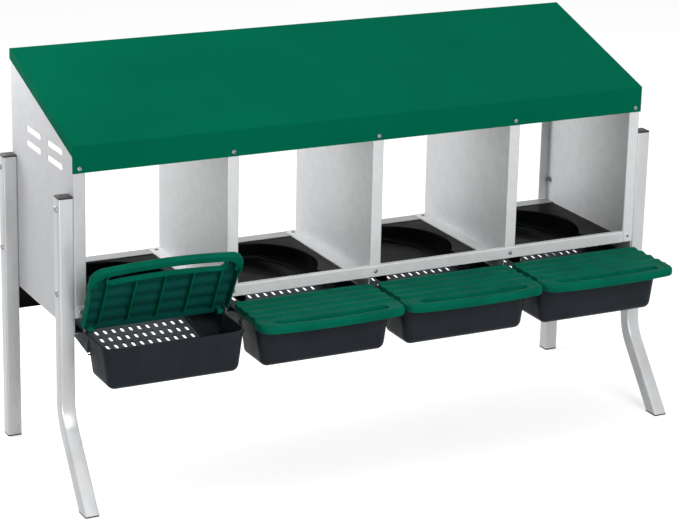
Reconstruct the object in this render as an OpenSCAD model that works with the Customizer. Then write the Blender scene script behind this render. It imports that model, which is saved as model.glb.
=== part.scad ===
// Roll out nest box: four open compartments under one sloping roof, on four legs.
// Each compartment has a moulded pan, a perforated ramp that runs down to the front,
// and a collecting tray with a hinged lid.
// The part stands on z = 0, x = 0 is its middle, and its front looks towards -Y.
// Lengths are in millimetres and angles in degrees.

/* [Cabinet] */
// Width of one compartment, from one upright to the next
pitch = 300; // [280:1:340]
// Depth of the sheet metal cabinet, front posts to rear face
cabinet_d = 332; // [300:1:400]
// Thickness of the galvanised sheet
sheet_t = 1.2; // [0.8:0.1:2]
// Bend radius of folded sheet, at the middle of its thickness
bend_r = 2; // [1.5:0.1:4]
// Height of the compartment floor level, where the dividers end
floor_z = 340; // [300:1:420]
// Height of the side panels' lower edge
panel_foot_z = 307; // [285:1:315]
// Height of the cabinet at its front, under the roof
front_top_z = 660.5; // [600:0.5:720]
// How much higher the cabinet is at the rear
roof_rise = 108; // [60:1:160]
// Width of the front flange of a side panel or divider
post_w = 23; // [18:0.5:30]
// Depth of the small return behind a front flange
post_return = 6; // [4:0.5:10]
// Width of a side panel's rear flange
rear_flange_w = 20; // [12:1:30]
// Width of the flange along the bottom of a divider
foot_flange_w = 25; // [18:0.5:32]

/* [Vents] */
// Length of a vent slot
vent_l = 80; // [40:1:90]
// Height of a vent slot
vent_h = 12; // [6:0.5:16]
// Distance from the front face to the middle of the front slots
vent_front_y = 95; // [80:1:110]
// Distance between the front slots and the rear slots
vent_pitch_y = 115; // [100:1:130]
// Distance from the cabinet's front top down to the upper slots' middle
vent_drop = 25.5; // [20:0.5:40]
// Distance from the upper slots down to the lower slots
vent_pitch_z = 28; // [20:1:40]

/* [Roof] */
// Thickness of the roof sheet
roof_t = 1.2; // [0.8:0.1:2]
// Depth of the roof's front lip
roof_lip = 51; // [40:1:70]
// Depth of the roof's side lips
roof_side_lip = 21; // [12:1:30]
// Depth of the roof's rear lip
roof_rear_lip = 20; // [12:1:30]
// Gap between a side lip and the side panel
roof_gap = 0.5; // [0.3:0.1:1]

/* [Rails] */
// Height of the front rail
rail_h = 22; // [16:1:30]
// Depth of the ledge along the top of the front rail
rail_ledge = 8; // [6:0.5:14]
// Height of the rear rail
rear_rail_h = 80; // [50:1:100]
// Depth of the rear rail's top flange
rear_rail_flange = 32; // [28:1:40]
// Height of the runner under each divider
runner_h = 33; // [28:1:36]
// Width of a runner's tabs and of the side panels' bottom flanges
runner_tab = 9; // [7:0.5:10]
// Distance from the front face to a runner's first tab
tab_front_y = 8; // [6:0.5:10]
// Length of a runner's front tabs
tab_l = 42; // [30:1:44]
// Distance from a runner's first tab to the next, which is turned the other way
tab_step = 44; // [42:1:46]
// Distance from the front face to a runner's rear tabs
tab_back_y = 100; // [98:1:104]
// Length of a runner's rear tabs
long_tab_l = 105; // [60:1:106]
// Distance from a runner's third tab to its last
long_tab_step = 110; // [106:1:112]
// Length of the rear rail's end tabs
rail_tab_l = 24; // [16:1:28]
// Height left free above and below a rail's end tab
rail_tab_gap = 3; // [2:0.5:5]

/* [Legs] */
// Outside width of the square leg tube
leg_w = 28; // [25:1:32]
// Wall of the leg tube
leg_wall = 1.5; // [1:0.1:2.5]
// Height of the legs' top, cap included
leg_top_z = 568; // [540:1:600]
// Height where the front legs begin to bend forward
leg_bend_z = 184; // [160:1:220]
// Bend radius of the front legs, at the middle of the tube
leg_bend_r = 100; // [80:1:150]
// Angle of the front legs' feet from upright
leg_kick = 38; // [20:1:40]
// Thickness of the plastic caps and feet
cap_t = 3; // [2:0.5:5]
// Length of the plug under a cap
plug_l = 14; // [8:1:25]
// Gap between a plug and the tube
plug_gap = 0.1; // [0.05:0.05:0.3]
// Height of the upper leg bolts
bolt_top_z = 545; // [530:1:552]
// Height of the lower leg bolts
bolt_low_z = 386; // [370:1:420]

/* [Nest pan] */
// Height of the pan's flat ledge above the bottom of its side walls
pan_h = 30.2; // [28:0.1:32]
// Wall thickness of the moulded plastic pan
pan_wall = 2.5; // [2:0.1:3.5]
// Radius of the round bowl in the pan
bowl_r = 124; // [110:1:128]
// Distance from the front face to the bowl's middle
bowl_y = 172; // [165:1:180]
// Shift of the bowl to the left of the compartment's middle
bowl_shift = 12; // [8:0.5:14]
// Slope of the bowl's floor towards the front
bowl_slope = 4; // [2:0.5:5]
// Radius of the shallow dish in the bowl's floor
dish_r = 84; // [60:1:90]
// Depth of the shallow dish
dish_depth = 1.5; // [0.5:0.1:2]
// Width of the way out of the bowl
exit_w = 186; // [150:1:190]
// Distance from the front face to the pan's front edge
pan_front_y = 14; // [10:1:20]
// Height of the pan's rear wall
pan_rear_h = 84; // [60:1:90]
// Gap between a pan and the runners beside it
pan_gap = 1.2; // [0.5:0.1:2]

/* [Collecting tray] */
// Width of the tray at its rim
tray_w = 276; // [260:1:278]
// How far the tray's rim reaches in front of the cabinet
tray_reach = 122; // [110:1:130]
// Height of the tray's rim
tray_rim_z = 316; // [314:0.5:317]
// Depth of the tray from rim to bottom
tray_h = 82; // [66:1:92]
// How much narrower the bottom is, on each side
tray_draft = 9; // [6:1:16]
// How much the bottom's front edge is set back
tray_front_draft = 7; // [5:1:12]
// Corner radius of the tray at the rim
tray_corner_r = 26; // [18:1:30]
// Radius of the tray's bottom edge
tray_base_r = 16; // [8:1:18]
// Wall thickness of the tray
tray_wall = 2.5; // [2:0.1:3.5]
// Distance from the cabinet's front to the rear end of the tray's sides
tray_side_end = 32; // [28:1:40]
// Distance from the cabinet's front to the bin's rear wall
bin_end = 8; // [6:1:14]
// Distance from the tray's middle to the ridge beside the bin
ridge_x = 82; // [70:1:90]
// Height of the ridge above the ramp
ridge_h = 8; // [5:0.5:10]
// How far the tray's arms reach back into the cabinet
arm_reach = 95; // [80:1:97]
// Height of the tray's arms
arm_h = 13; // [10:0.5:14]
// Height of the low wall along the back of the tray
back_lip_h = 12; // [8:1:20]

/* [Ramp] */
// Height of the ramp's top at the cabinet's front
ramp_front_z = 289; // [286:0.5:290]
// Slope of the ramp towards the front
ramp_slope = 8.8; // [7:0.1:9.5]
// Thickness of the ramp
ramp_t = 3; // [2:0.1:4]
// How far the ramp reaches back into the cabinet
ramp_back_y = 104; // [101:1:108]
// Gap between the ramp and the tray around it
ramp_gap = 0.4; // [0.2:0.1:0.8]
// Distance between slots across the ramp
slot_pitch_x = 16.75; // [14:0.25:17]
// Distance between rows of slots along the ramp
slot_pitch_y = 28.4; // [26:0.1:30]
// Distance from the cabinet's front face to the last row of slots
slot_back_y = 89; // [84:1:91]
// Width of a slot
slot_w = 7; // [5:0.1:9]
// Length of a slot
slot_l = 18; // [14:0.5:20]
// Distance from the tray's middle to the last slot at the right
slot_last_x = 71; // [60:0.25:76]
// Width of the ledges that carry the ramp
seat_w = 4; // [3:0.5:6]

/* [Lid] */
// Distance from the cabinet's front to the hinge axis
hinge_y = 16; // [14:0.5:20]
// Height of the hinge axis above the tray's rim
hinge_rise = 4.5; // [4:0.1:6]
// Length of the lid from the hinge axis to the middle of its front edge
lid_l = 156; // [148:1:164]
// Length of the lid behind the hinge axis
lid_tail = 9; // [6:0.5:10]
// Width of the lid at its rear
lid_rear_w = 268; // [264:1:270]
// Width of the lid's wavy part at its rear end
lid_mid_w = 286; // [272:1:288]
// How much wider the wavy part is at its front end
lid_flare = 2; // [0:1:8]
// Width of the lid at its front
lid_front_w = 297; // [288:1:298]
// How far the front edge is bowed out
lid_bow = 10; // [6:0.5:16]
// Corner radius of the lid's front
lid_corner_r = 26; // [16:1:32]
// Thickness of the lid's sheet
lid_t = 2.5; // [2:0.1:3.5]
// Height of the waves across the lid
wave_h = 3; // [1.5:0.1:3.5]
// Distance between the waves
wave_pitch = 28; // [24:0.5:29]
// Width of the thick rim along the lid's front
lid_rim_w = 15; // [12:0.5:18]
// Height of the thick rim
lid_rim_h = 15; // [12:0.5:20]
// How far the thick rim stands above the sheet
lid_rim_up = 1; // [0:0.1:3]
// Radius of the thick rim's upper edge
lid_rim_r = 6; // [3:0.5:8]
// Width of the handle slot
grip_w = 22; // [16:0.5:24]
// Length of the handle slot
grip_l = 232; // [180:1:240]
// Depth of the flange behind the handle slot
grip_flange = 11.5; // [4:0.5:12]
// Thickness of the ribs under the lid
rib_t = 3; // [2:0.1:4]
// Depth of the ribs under the lid
rib_h = 7; // [4:0.5:8]
// Distance between the ribs
rib_pitch = 56; // [50:1:60]
// Opening angle at which the first lid stands
lid_open = 62; // [40:1:80]

/* [Hinge] */
// Radius of a hinge pin
pin_r = 2.5; // [2:0.1:2.8]
// Radial clearance of the lid on its pins
pin_play = 0.06; // [0.03:0.01:0.1]
// Radius of the hinge ear on the tray
ear_r = 7; // [6:0.1:7.2]
// Thickness of the hinge ear
ear_t = 5; // [4:0.5:7]
// Radius of the lid's hinge barrel
barrel_r = 6; // [5.5:0.1:6.5]
// Length of the lid's hinge barrel
barrel_l = 10; // [7:0.5:14]
// Gap between moving faces
move_gap = 0.5; // [0.3:0.1:0.8]

/* [Fasteners] */
// Radius of a sheet screw's shank
screw_r = 2.4; // [2:0.1:3]
// Radius of a sheet screw's head
screw_head_r = 4.4; // [3.8:0.1:5]
// Height of a sheet screw's head
screw_head_h = 2.5; // [1.5:0.1:3]
// Length of a sheet screw under its head
screw_l = 9; // [6:0.5:12]
// Clearance around screws and bolts
hole_gap = 0.2; // [0.1:0.05:0.4]
// Radial clearance of pins and nuts that stay put
seat_play = 0.02; // [0.01:0.01:0.05]
// Radius of a leg bolt
bolt_r = 3; // [2.5:0.1:4]
// Radius of a leg bolt's head
bolt_head_r = 6; // [5:0.1:8]
// Height of a leg bolt's head
bolt_head_h = 3.5; // [2:0.1:4.5]
// Width of a nut across its corners
nut_w = 11.5; // [9:0.1:14]
// Thickness of a nut
nut_t = 5; // [3:0.1:6]
// Distance from the front face to the front screw of a runner
runner_screw_front = 30; // [24:1:36]
// Distance from the lip's lower edge up to the roof screws
roof_screw_up = 8.5; // [6:0.5:12]

/* [Hidden] */
$fn = 64;
compartments = 4;
cabinet_w = pitch * compartments;
half_w = cabinet_w / 2;
eps = 0.01;
slope = atan(roof_rise / cabinet_d);
roof_sheet_z = front_top_z + roof_t / 2 / cos(slope);
lip_bottom_z = front_top_z - roof_lip + roof_t;
rail_top_z = floor_z + rail_h;
rail_screw_z = floor_z + rail_h / 2;
roof_screw_z = lip_bottom_z + roof_screw_up;
rest_z = panel_foot_z + sheet_t;
runner_foot_z = floor_z - runner_h;
pan_x0 = sheet_t + pan_gap;
pan_x1 = pitch - sheet_t - pan_gap;
pan_top_z = rest_z + pan_h;
pan_rear_y = cabinet_d - sheet_t - 2.8;
pan_side_y = ramp_back_y;
tray_half = tray_w / 2;
tray_base_z = tray_rim_z - tray_h;
hinge_z = tray_rim_z + hinge_rise;
lid_under = ear_r + move_gap;
lid_skirt_z = -hinge_rise + move_gap;
bow_r = (pow(lid_front_w / 2, 2) + pow(lid_bow, 2)) / (2 * lid_bow);
rows = 7;
columns = 11;
leg_end_drop = leg_bend_r * sin(leg_kick);
leg_run = (leg_bend_z - cap_t - leg_end_drop) / cos(leg_kick);
front_reach = hinge_y + lid_l;
rear_reach = cabinet_d + roof_t;
mid_y = (rear_reach - front_reach) / 2;
leg_x = half_w + leg_w / 2;
rear_leg_y = cabinet_d - leg_w / 2;
divider_x = [for (i = [1:compartments - 1]) -half_w + i * pitch];
lid_angles = [lid_open, 0, 0, 0];
galvanised = "#c9ccce";
roof_green = "#00694c";
lid_green = "#006b52";
tray_black = "#2b2f33";
ramp_grey = "#48484b";
steel = "#8d9194";

// Unit vector and left normal of a direction in the plane
function unit(v) = v / norm(v);
function left_of(v) = [-v[1], v[0]];
// Which way a path turns at b: 1 to the left, -1 to the right
function turn(a, b, c) = cross(b - a, c - b) > 0 ? 1 : -1;

// Arc of radius r that rounds the corner b between a and c
function corner_arc(a, b, c, r, n = 4) =
    let (u = unit(a - b), w = unit(c - b), half = acos(u * w) / 2,
         centre = b + unit(u + w) * r / sin(half),
         p = b + u * r / tan(half) - centre, q = b + w * r / tan(half) - centre,
         start = atan2(p[1], p[0]),
         sweep = (atan2(q[1], q[0]) - start + 540) % 360 - 180)
    [for (i = [0:n]) centre + r * [cos(start + sweep * i / n), sin(start + sweep * i / n)]];

// Point b of a path moved sideways by d, where its two stretches meet
function mitre(a, b, c, d) =
    let (m = left_of(unit(b - a)), k = unit(m + left_of(unit(c - b))))
    b + k * d / (k * m);

// One face of a folded sheet, on the left of its middle line for side = 1
function sheet_side(p, t, r, side) =
    let (last = len(p) - 1, d = side * t / 2,
         q = [p[0] + left_of(unit(p[1] - p[0])) * d,
              for (i = [1:last - 1]) mitre(p[i - 1], p[i], p[i + 1], d),
              p[last] + left_of(unit(p[last] - p[last - 1])) * d])
    [q[0],
     for (i = [1:last - 1])
        each corner_arc(q[i - 1], q[i], q[i + 1], r - d * turn(p[i - 1], p[i], p[i + 1])),
     q[last]];

function reversed(list) = [for (i = [len(list) - 1:-1:0]) list[i]];

// Section of a folded sheet along the middle line p
module sheet_section(p, t, r) {
    polygon(concat(sheet_side(p, t, r, 1), reversed(sheet_side(p, t, r, -1))));
}

// Moves the cabinet frame, whose y = 0 is the cabinet's front face, to the part's own frame
module placed() {
    translate([0, -mid_y, 0]) children();
}

// Section drawn in Y and Z, extruded along X from x0 to x1
module along_x(x0, x1) {
    translate([x0, 0, 0]) rotate([90, 0, 90]) linear_extrude(x1 - x0) children();
}

// Box between two corners
module block(low, high) {
    translate(low) cube(high - low);
}

// Height of the roof sheet's underside at y
function roof_under_z(y) = front_top_z + tan(slope) * y;

// Space under the roof sheet, with its corners cut clear of the roof's bends
module under_roof(x0, x1) {
    back_y = cabinet_d - 1.5 * bend_r;
    along_x(x0, x1)
        polygon([[-1, 0], [cabinet_d + 1, 0],
                 [cabinet_d + 1, roof_under_z(back_y) - bend_r],
                 [cabinet_d - sheet_t / 2, roof_under_z(back_y) - bend_r],
                 [back_y, roof_under_z(back_y)],
                 [bend_r, roof_under_z(bend_r)],
                 [0, front_top_z - bend_r],
                 [-1, front_top_z - bend_r]]);
}

// Slot with round ends along Y, drawn flat
module stadium(l, w) {
    square([l - w, w], center = true);
    for (s = [-1, 1]) translate([s * (l - w) / 2, 0]) circle(w / 2);
}

// Cylinder along X from x0 to x1 at y, z
module rod_x(x0, x1, y, z, r) {
    translate([x0, y, z]) rotate([0, 90, 0]) cylinder(r = r, h = x1 - x0);
}

// Cylinder along Y from y0 to y1 at x, z
module rod_y(x, y0, y1, z, r) {
    translate([x, y0, z]) rotate([-90, 0, 0]) cylinder(r = r, h = y1 - y0);
}

// Middle of a post's flange, for the upright that starts at x
function post_middle(x) = x + post_w / 2;
post_screw_x = [for (x = concat([-half_w], divider_x)) post_middle(x)];
roof_screw_x = concat(post_screw_x, [half_w - post_w / 2]);

// Leg bolt places, as [side, y, z]
leg_bolt_places = [for (s = [-1, 1], y = [leg_w / 2, rear_leg_y], z = [bolt_top_z, bolt_low_z])
    [s, y, z]];

module leg_bolt_holes() {
    for (p = leg_bolt_places)
        rod_x(p[0] * leg_x - leg_w, p[0] * leg_x + leg_w, p[1], p[2], bolt_r + hole_gap);
}

module front_screw_holes(xs, z) {
    for (x = xs) rod_y(x, -screw_l, screw_l, z, screw_r + hole_gap);
}

module roof() {
    outer = half_w + roof_gap + roof_t;
    rear_z = roof_sheet_z + tan(slope) * (cabinet_d + roof_t / 2);
    side_front_z = front_top_z + roof_t - roof_side_lip;
    color(roof_green) placed() difference() {
        union() {
            along_x(-outer, outer)
                sheet_section([[-roof_t / 2, lip_bottom_z],
                               [-roof_t / 2, roof_sheet_z - tan(slope) * roof_t / 2],
                               [cabinet_d + roof_t / 2, rear_z],
                               [cabinet_d + roof_t / 2, rear_z - roof_rear_lip]], roof_t, bend_r);
            for (s = [-1, 1])
                along_x(s > 0 ? outer - roof_t : -outer, s > 0 ? outer : roof_t - outer)
                    polygon([[-roof_t, side_front_z],
                             [-roof_t, roof_sheet_z - bend_r],
                             [bend_r, roof_sheet_z + tan(slope) * bend_r],
                             [cabinet_d - bend_r, roof_sheet_z + tan(slope) * (cabinet_d - bend_r)],
                             [cabinet_d + roof_t, rear_z - bend_r],
                             [cabinet_d + roof_t, side_front_z + tan(slope) * cabinet_d]]);
        }
        front_screw_holes(roof_screw_x, roof_screw_z);
    }
}

// Left side panel: web, front and rear flanges and a flange along its lower edge
module side_panel() {
    color(galvanised) placed() difference() {
        union() {
            intersection() {
                translate([0, 0, panel_foot_z]) linear_extrude(floor_z + front_top_z)
                    sheet_section([[post_w - half_w - sheet_t / 2, post_return],
                                   [post_w - half_w - sheet_t / 2, sheet_t / 2],
                                   [sheet_t / 2 - half_w, sheet_t / 2],
                                   [sheet_t / 2 - half_w, cabinet_d - sheet_t / 2],
                                   [rear_flange_w - half_w, cabinet_d - sheet_t / 2]],
                                  sheet_t, bend_r);
                under_roof(-half_w - 1, 0);
                union() {
                    block([-half_w - 1, -1, floor_z], [0, cabinet_d + 1, 2 * front_top_z]);
                    block([-half_w - 1, bend_r + sheet_t, 0],
                          [sheet_t - half_w, cabinet_d - bend_r - sheet_t, front_top_z]);
                }
            }
            block([sheet_t - half_w - eps, tab_front_y, panel_foot_z],
                  [sheet_t - half_w + runner_tab, cabinet_d - tab_front_y, rest_z]);
        }
        for (i = [0, 1], k = [0, 1])
            translate([-half_w - 1, vent_front_y + i * vent_pitch_y,
                       front_top_z - vent_drop - k * vent_pitch_z])
                rotate([90, 0, 90]) linear_extrude(sheet_t + 2) stadium(vent_l, vent_h);
        leg_bolt_holes();
        front_screw_holes([post_middle(-half_w)], roof_screw_z);
        front_screw_holes([post_middle(-half_w)], rail_screw_z);
    }
}

module side_panel_left() side_panel();
module side_panel_right() mirror([1, 0, 0]) side_panel();

// Divider whose web starts at x: post flange to the right, foot flange to the left
module divider(x) {
    color(galvanised) placed() difference() {
        union() {
            intersection() {
                translate([0, 0, floor_z]) linear_extrude(front_top_z)
                    sheet_section([[x + post_w - sheet_t / 2, post_return],
                                   [x + post_w - sheet_t / 2, sheet_t / 2],
                                   [x + sheet_t / 2, sheet_t / 2],
                                   [x + sheet_t / 2, cabinet_d - 2 * sheet_t]], sheet_t, bend_r);
                under_roof(x - 1, x + post_w + 1);
            }
            block([x - foot_flange_w, 4, floor_z],
                  [x + eps, cabinet_d - 2 * sheet_t, floor_z + sheet_t]);
        }
        front_screw_holes([post_middle(x)], roof_screw_z);
        front_screw_holes([post_middle(x)], rail_screw_z);
        runner_screw_holes(x);
    }
}

module divider_1() divider(divider_x[0]);
module divider_2() divider(divider_x[1]);
module divider_3() divider(divider_x[2]);

runner_screw_y = [runner_screw_front, cabinet_d - rear_rail_flange / 2];

module runner_screw_holes(x) {
    for (y = runner_screw_y)
        translate([x - foot_flange_w / 2, y, floor_z - screw_l])
            cylinder(r = screw_r + hole_gap, h = 2 * screw_l);
}

// Runner under a divider: its tabs, cut and turned alternately, carry pans and trays
module floor_runner(x) {
    half_len = cabinet_d - 4 * sheet_t;
    // Each tab's side, distance from the front face and length
    tabs = [[-1, tab_front_y, tab_l], [1, tab_front_y + tab_step, tab_l],
            [-1, tab_back_y, long_tab_l], [1, tab_back_y + long_tab_step, long_tab_l]];
    color(galvanised) placed() difference() {
        union() {
            block([x, 4, runner_foot_z], [x + sheet_t, half_len, floor_z]);
            block([x - foot_flange_w, 4, floor_z - sheet_t], [x + eps, half_len, floor_z]);
            for (tab = tabs)
                block([tab[0] > 0 ? x + sheet_t - eps : x - runner_tab, tab[1], panel_foot_z],
                      [tab[0] > 0 ? x + sheet_t + runner_tab : x + eps, tab[1] + tab[2], rest_z]);
        }
        runner_screw_holes(x);
    }
}

module floor_runner_1() floor_runner(divider_x[0]);
module floor_runner_2() floor_runner(divider_x[1]);
module floor_runner_3() floor_runner(divider_x[2]);

// Front rail: face in front of the posts, ledge turned in and notched round them
module front_rail() {
    right = half_w - post_w - 1;
    color(galvanised) placed() difference() {
        union() {
            along_x(-half_w, right)
                sheet_section([[-sheet_t / 2, floor_z], [-sheet_t / 2, rail_top_z - sheet_t / 2],
                               [rail_ledge, rail_top_z - sheet_t / 2]], sheet_t, bend_r);
            // End tab behind the right panel's flange
            block([right - sheet_t, -sheet_t, floor_z + rail_tab_gap],
                  [right, post_return + 2 * sheet_t, rail_top_z - rail_tab_gap - sheet_t]);
            block([right - eps, post_return + sheet_t, floor_z + rail_tab_gap],
                  [half_w - 2 * sheet_t, post_return + 2 * sheet_t,
                   rail_top_z - rail_tab_gap - sheet_t]);
        }
        for (x = concat([-half_w], divider_x))
            block([x - 0.5, eps, floor_z - 1],
                  [x + post_w + 0.5, rail_ledge + 1, rail_top_z + 1]);
        front_screw_holes(post_screw_x, rail_screw_z);
    }
}

// Rear rail: face below the floor level, flange turned in, end tabs along the side panels
module rear_rail() {
    inner = half_w - sheet_t;
    color(galvanised) placed() difference() {
        union() {
            along_x(-inner, inner)
                sheet_section([[cabinet_d - sheet_t / 2, floor_z - rear_rail_h],
                               [cabinet_d - sheet_t / 2, floor_z - sheet_t / 2],
                               [cabinet_d - rear_rail_flange, floor_z - sheet_t / 2]],
                              sheet_t, bend_r);
            for (s = [-1, 1])
                block([s > 0 ? inner - sheet_t : -inner, cabinet_d - rail_tab_l, rest_z + rail_tab_gap],
                      [s > 0 ? inner : sheet_t - inner, cabinet_d - sheet_t / 2,
                       floor_z - sheet_t]);
        }
        for (x = divider_x)
            block([x - foot_flange_w - 0.5, cabinet_d - rear_rail_flange - 1, floor_z - 2],
                  [x + sheet_t + 0.5, cabinet_d - 2 * sheet_t, floor_z + 1]);
    }
}

// Height of the bowl's floor and of the ramp's top, at y
function bowl_floor_z(y) = ramp_top_z(ramp_back_y) + 1 + tan(bowl_slope) * (y - ramp_back_y);
function ramp_top_z(y) = ramp_front_z + tan(ramp_slope) * y;

// Space above the bowl's floor, lowered by drop
module above_bowl_floor(x0, x1, drop) {
    far = cabinet_d;
    along_x(x0, x1)
        polygon([[0, bowl_floor_z(0) - drop], [far, bowl_floor_z(far) - drop],
                 [far, floor_z + pan_h], [0, floor_z + pan_h]]);
}

// Moulded pan of one compartment, whose left upright starts at x
module nest_pan(x) {
    bowl_x = x + pitch / 2 - bowl_shift;
    exit0 = bowl_x - exit_w / 2;
    exit1 = bowl_x + exit_w / 2;
    x0 = x + pan_x0;
    x1 = x + pan_x1;
    low_z = bowl_floor_z(ramp_back_y) - pan_wall;
    color(tray_black) placed() difference() {
        union() {
            // Flat ledge
            block([x0, pan_front_y, pan_top_z - pan_wall], [x1, pan_rear_y, pan_top_z]);
            // Side walls that stand on the tabs, and the deeper rear wall
            for (w = [x0, x1 - pan_wall])
                block([w, pan_side_y, rest_z], [w + pan_wall, pan_rear_y, pan_top_z]);
            block([x0, pan_rear_y - pan_wall, pan_top_z - pan_rear_h],
                  [x1, pan_rear_y, pan_top_z]);
            // Bowl, cut off under its sloping floor
            intersection() {
                translate([bowl_x, bowl_y, low_z]) cylinder(r = bowl_r, h = pan_top_z - low_z, $fn = 128);
                above_bowl_floor(x0, x1, pan_wall);
                block([x0, ramp_back_y, 0], [x1, pan_rear_y, floor_z]);
            }
            // Walls beside the way out
            for (w = [exit0 - pan_wall, exit1])
                block([w, pan_front_y, ramp_top_z(ramp_back_y) + ridge_h + 2],
                      [w + pan_wall, ramp_back_y + pan_wall, pan_top_z]);
        }
        // Holes for the screws of the runner at the pan's right
        if (x + pitch < half_w)
            for (y = runner_screw_y)
                translate([x + pitch - foot_flange_w / 2, y, 0])
                    cylinder(r = screw_r + hole_gap, h = floor_z);
        intersection() {
            translate([bowl_x, bowl_y, 0]) cylinder(r = bowl_r - pan_wall, h = floor_z + 1, $fn = 128);
            above_bowl_floor(x0, x1, 0);
        }
        intersection() {
            translate([bowl_x, bowl_y, 0]) cylinder(r = dish_r, h = floor_z, $fn = 128);
            above_bowl_floor(x0, x1, dish_depth);
        }
        block([exit0, -1, 0], [exit1, ramp_back_y - 1, floor_z + 1]);
        intersection() {
            block([exit0, ramp_back_y - 2, 0], [exit1, bowl_y, floor_z + 1]);
            above_bowl_floor(x0, x1, 0);
        }
    }
}

module nest_pan_1() nest_pan(-half_w);
module nest_pan_2() nest_pan(-half_w + pitch);
module nest_pan_3() nest_pan(-half_w + 2 * pitch);
module nest_pan_4() nest_pan(-half_w + 3 * pitch);

// Solid tub with round front corners and a round bottom edge, drawn in by inset
module tub(inset, top_z) {
    w1 = tray_half - inset;
    w0 = tray_half - tray_draft - inset;
    y1 = tray_reach - inset;
    y0 = tray_reach - tray_front_draft - inset;
    r1 = tray_corner_r - inset;
    r0 = tray_base_r - inset / 2;
    hull() {
        for (s = [-1, 1]) {
            translate([s * (w1 - r1), r1 - y1, top_z - 1]) cylinder(r = r1, h = 1, $fn = 32);
            translate([s * (w0 - r0), r0 - y0, tray_base_z + inset + r0]) sphere(r0, $fn = 32);
            translate([s * (w0 - r0), 0, tray_base_z + inset + r0])
                rotate([90, 0, 0]) cylinder(r = r0, h = 1, $fn = 32);
            translate([s * (w1 - 0.5) - 0.5, -1, top_z - 1]) cube([1, 1, 1]);
        }
    }
}

// Strip under the ramp's plane between two depths, seen from the side
module ramp_strip(x0, x1, y0, y1, above, below) {
    along_x(x0, x1)
        polygon([[y0, ramp_top_z(y0) - below], [y1, ramp_top_z(y1) - below],
                 [y1, ramp_top_z(y1) + above], [y0, ramp_top_z(y0) + above]]);
}

// Collecting tray around x = 0 of its compartment
module tray_body() {
    front_in = tray_wall - tray_reach;
    arm_in = tray_half - tray_wall;
    arm_start = -tray_side_end - 2 * tray_wall;
    seat = ramp_t / cos(ramp_slope) + ramp_gap / 2;
    difference() {
        union() {
            difference() {
                tub(0, tray_rim_z);
                tub(tray_wall, tray_rim_z + tray_wall);
                // The part beside the bin ends further forward
                block([-tray_w, -tray_side_end, 0], [ridge_x, 1, tray_rim_z + tray_h]);
                block([0, -bin_end, 0], [tray_w, 1, tray_rim_z + tray_h]);
            }
            // Low wall along the back
            intersection() {
                tub(0, tray_rim_z);
                block([-tray_w, -tray_side_end - tray_wall, 0],
                      [ridge_x + 1, -tray_side_end, tray_base_z + back_lip_h]);
            }
            // Bin: its left wall, with the ridge on top, and its rear wall
            intersection() {
                tub(0, tray_rim_z);
                ramp_strip(ridge_x, ridge_x + tray_wall, -tray_reach, -bin_end, ridge_h, tray_h);
            }
            intersection() {
                tub(0, tray_rim_z);
                ramp_strip(ridge_x, tray_w, -bin_end - tray_wall, -bin_end, 0, tray_h);
            }
            // Deck behind the bin, and the ridge beside it
            ramp_strip(ridge_x, arm_in + eps, -bin_end - eps, arm_reach, 0, seat);
            ramp_strip(ridge_x, ridge_x + tray_wall, -bin_end - eps, arm_reach, ridge_h, seat);
            // Arms that reach back into the cabinet, with lips that lie on the tabs
            for (s = [-1, 1]) {
                block([s > 0 ? arm_in : -tray_half, arm_start, tray_rim_z - arm_h],
                      [s > 0 ? tray_half : -arm_in, arm_reach, tray_rim_z]);
                block([s > 0 ? tray_half - eps : -tray_half - runner_tab, tab_front_y, rest_z],
                      [s > 0 ? tray_half + runner_tab : eps - tray_half, arm_reach,
                       rest_z + tray_wall]);
                rod_x(s > 0 ? tray_half - ear_t : -tray_half, s > 0 ? tray_half : ear_t - tray_half,
                      -hinge_y, hinge_z, ear_r);
                block([s > 0 ? tray_half - ear_t : -tray_half, -hinge_y - ear_r,
                       tray_rim_z - arm_h],
                      [s > 0 ? tray_half : ear_t - tray_half, ear_r - hinge_y, hinge_z]);
            }
            // Ledges under the ramp
            intersection() {
                union() {
                    tub(0, tray_rim_z);
                    block([-tray_half, -tray_side_end - 1, 0], [ridge_x, arm_reach, tray_rim_z]);
                }
                union() {
                    ramp_strip(-tray_half, seat_w - arm_in + ramp_draft_in, -tray_reach,
                               -tray_side_end, -seat, seat + tray_wall);
                    ramp_strip(ridge_x - seat_w, ridge_x + eps, -tray_reach, arm_reach,
                               -seat, seat + tray_wall);
                    ramp_strip(-tray_half, ridge_x, -tray_reach,
                               front_in + ramp_front_in + seat_w, -seat, seat + tray_wall);
                }
            }
            // Web between the right arm and the deck
            along_x(arm_in, tray_half)
                polygon([[-tray_side_end, ramp_top_z(-tray_side_end) - seat],
                         [arm_reach, ramp_top_z(arm_reach) - seat],
                         [arm_reach, tray_rim_z - 1], [-tray_side_end, tray_rim_z - 1]]);
        }
        rod_x(-tray_half - 1, -tray_half + ear_t + 1, -hinge_y, hinge_z, pin_r + seat_play);
        rod_x(tray_half - ear_t - 1, tray_half + 1, -hinge_y, hinge_z, pin_r + seat_play);
    }
}

module collecting_tray(i) {
    color(tray_black) placed() translate([-half_w + (i - 0.5) * pitch, 0, 0]) tray_body();
}

module collecting_tray_1() collecting_tray(1);
module collecting_tray_2() collecting_tray(2);
module collecting_tray_3() collecting_tray(3);
module collecting_tray_4() collecting_tray(4);

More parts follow.
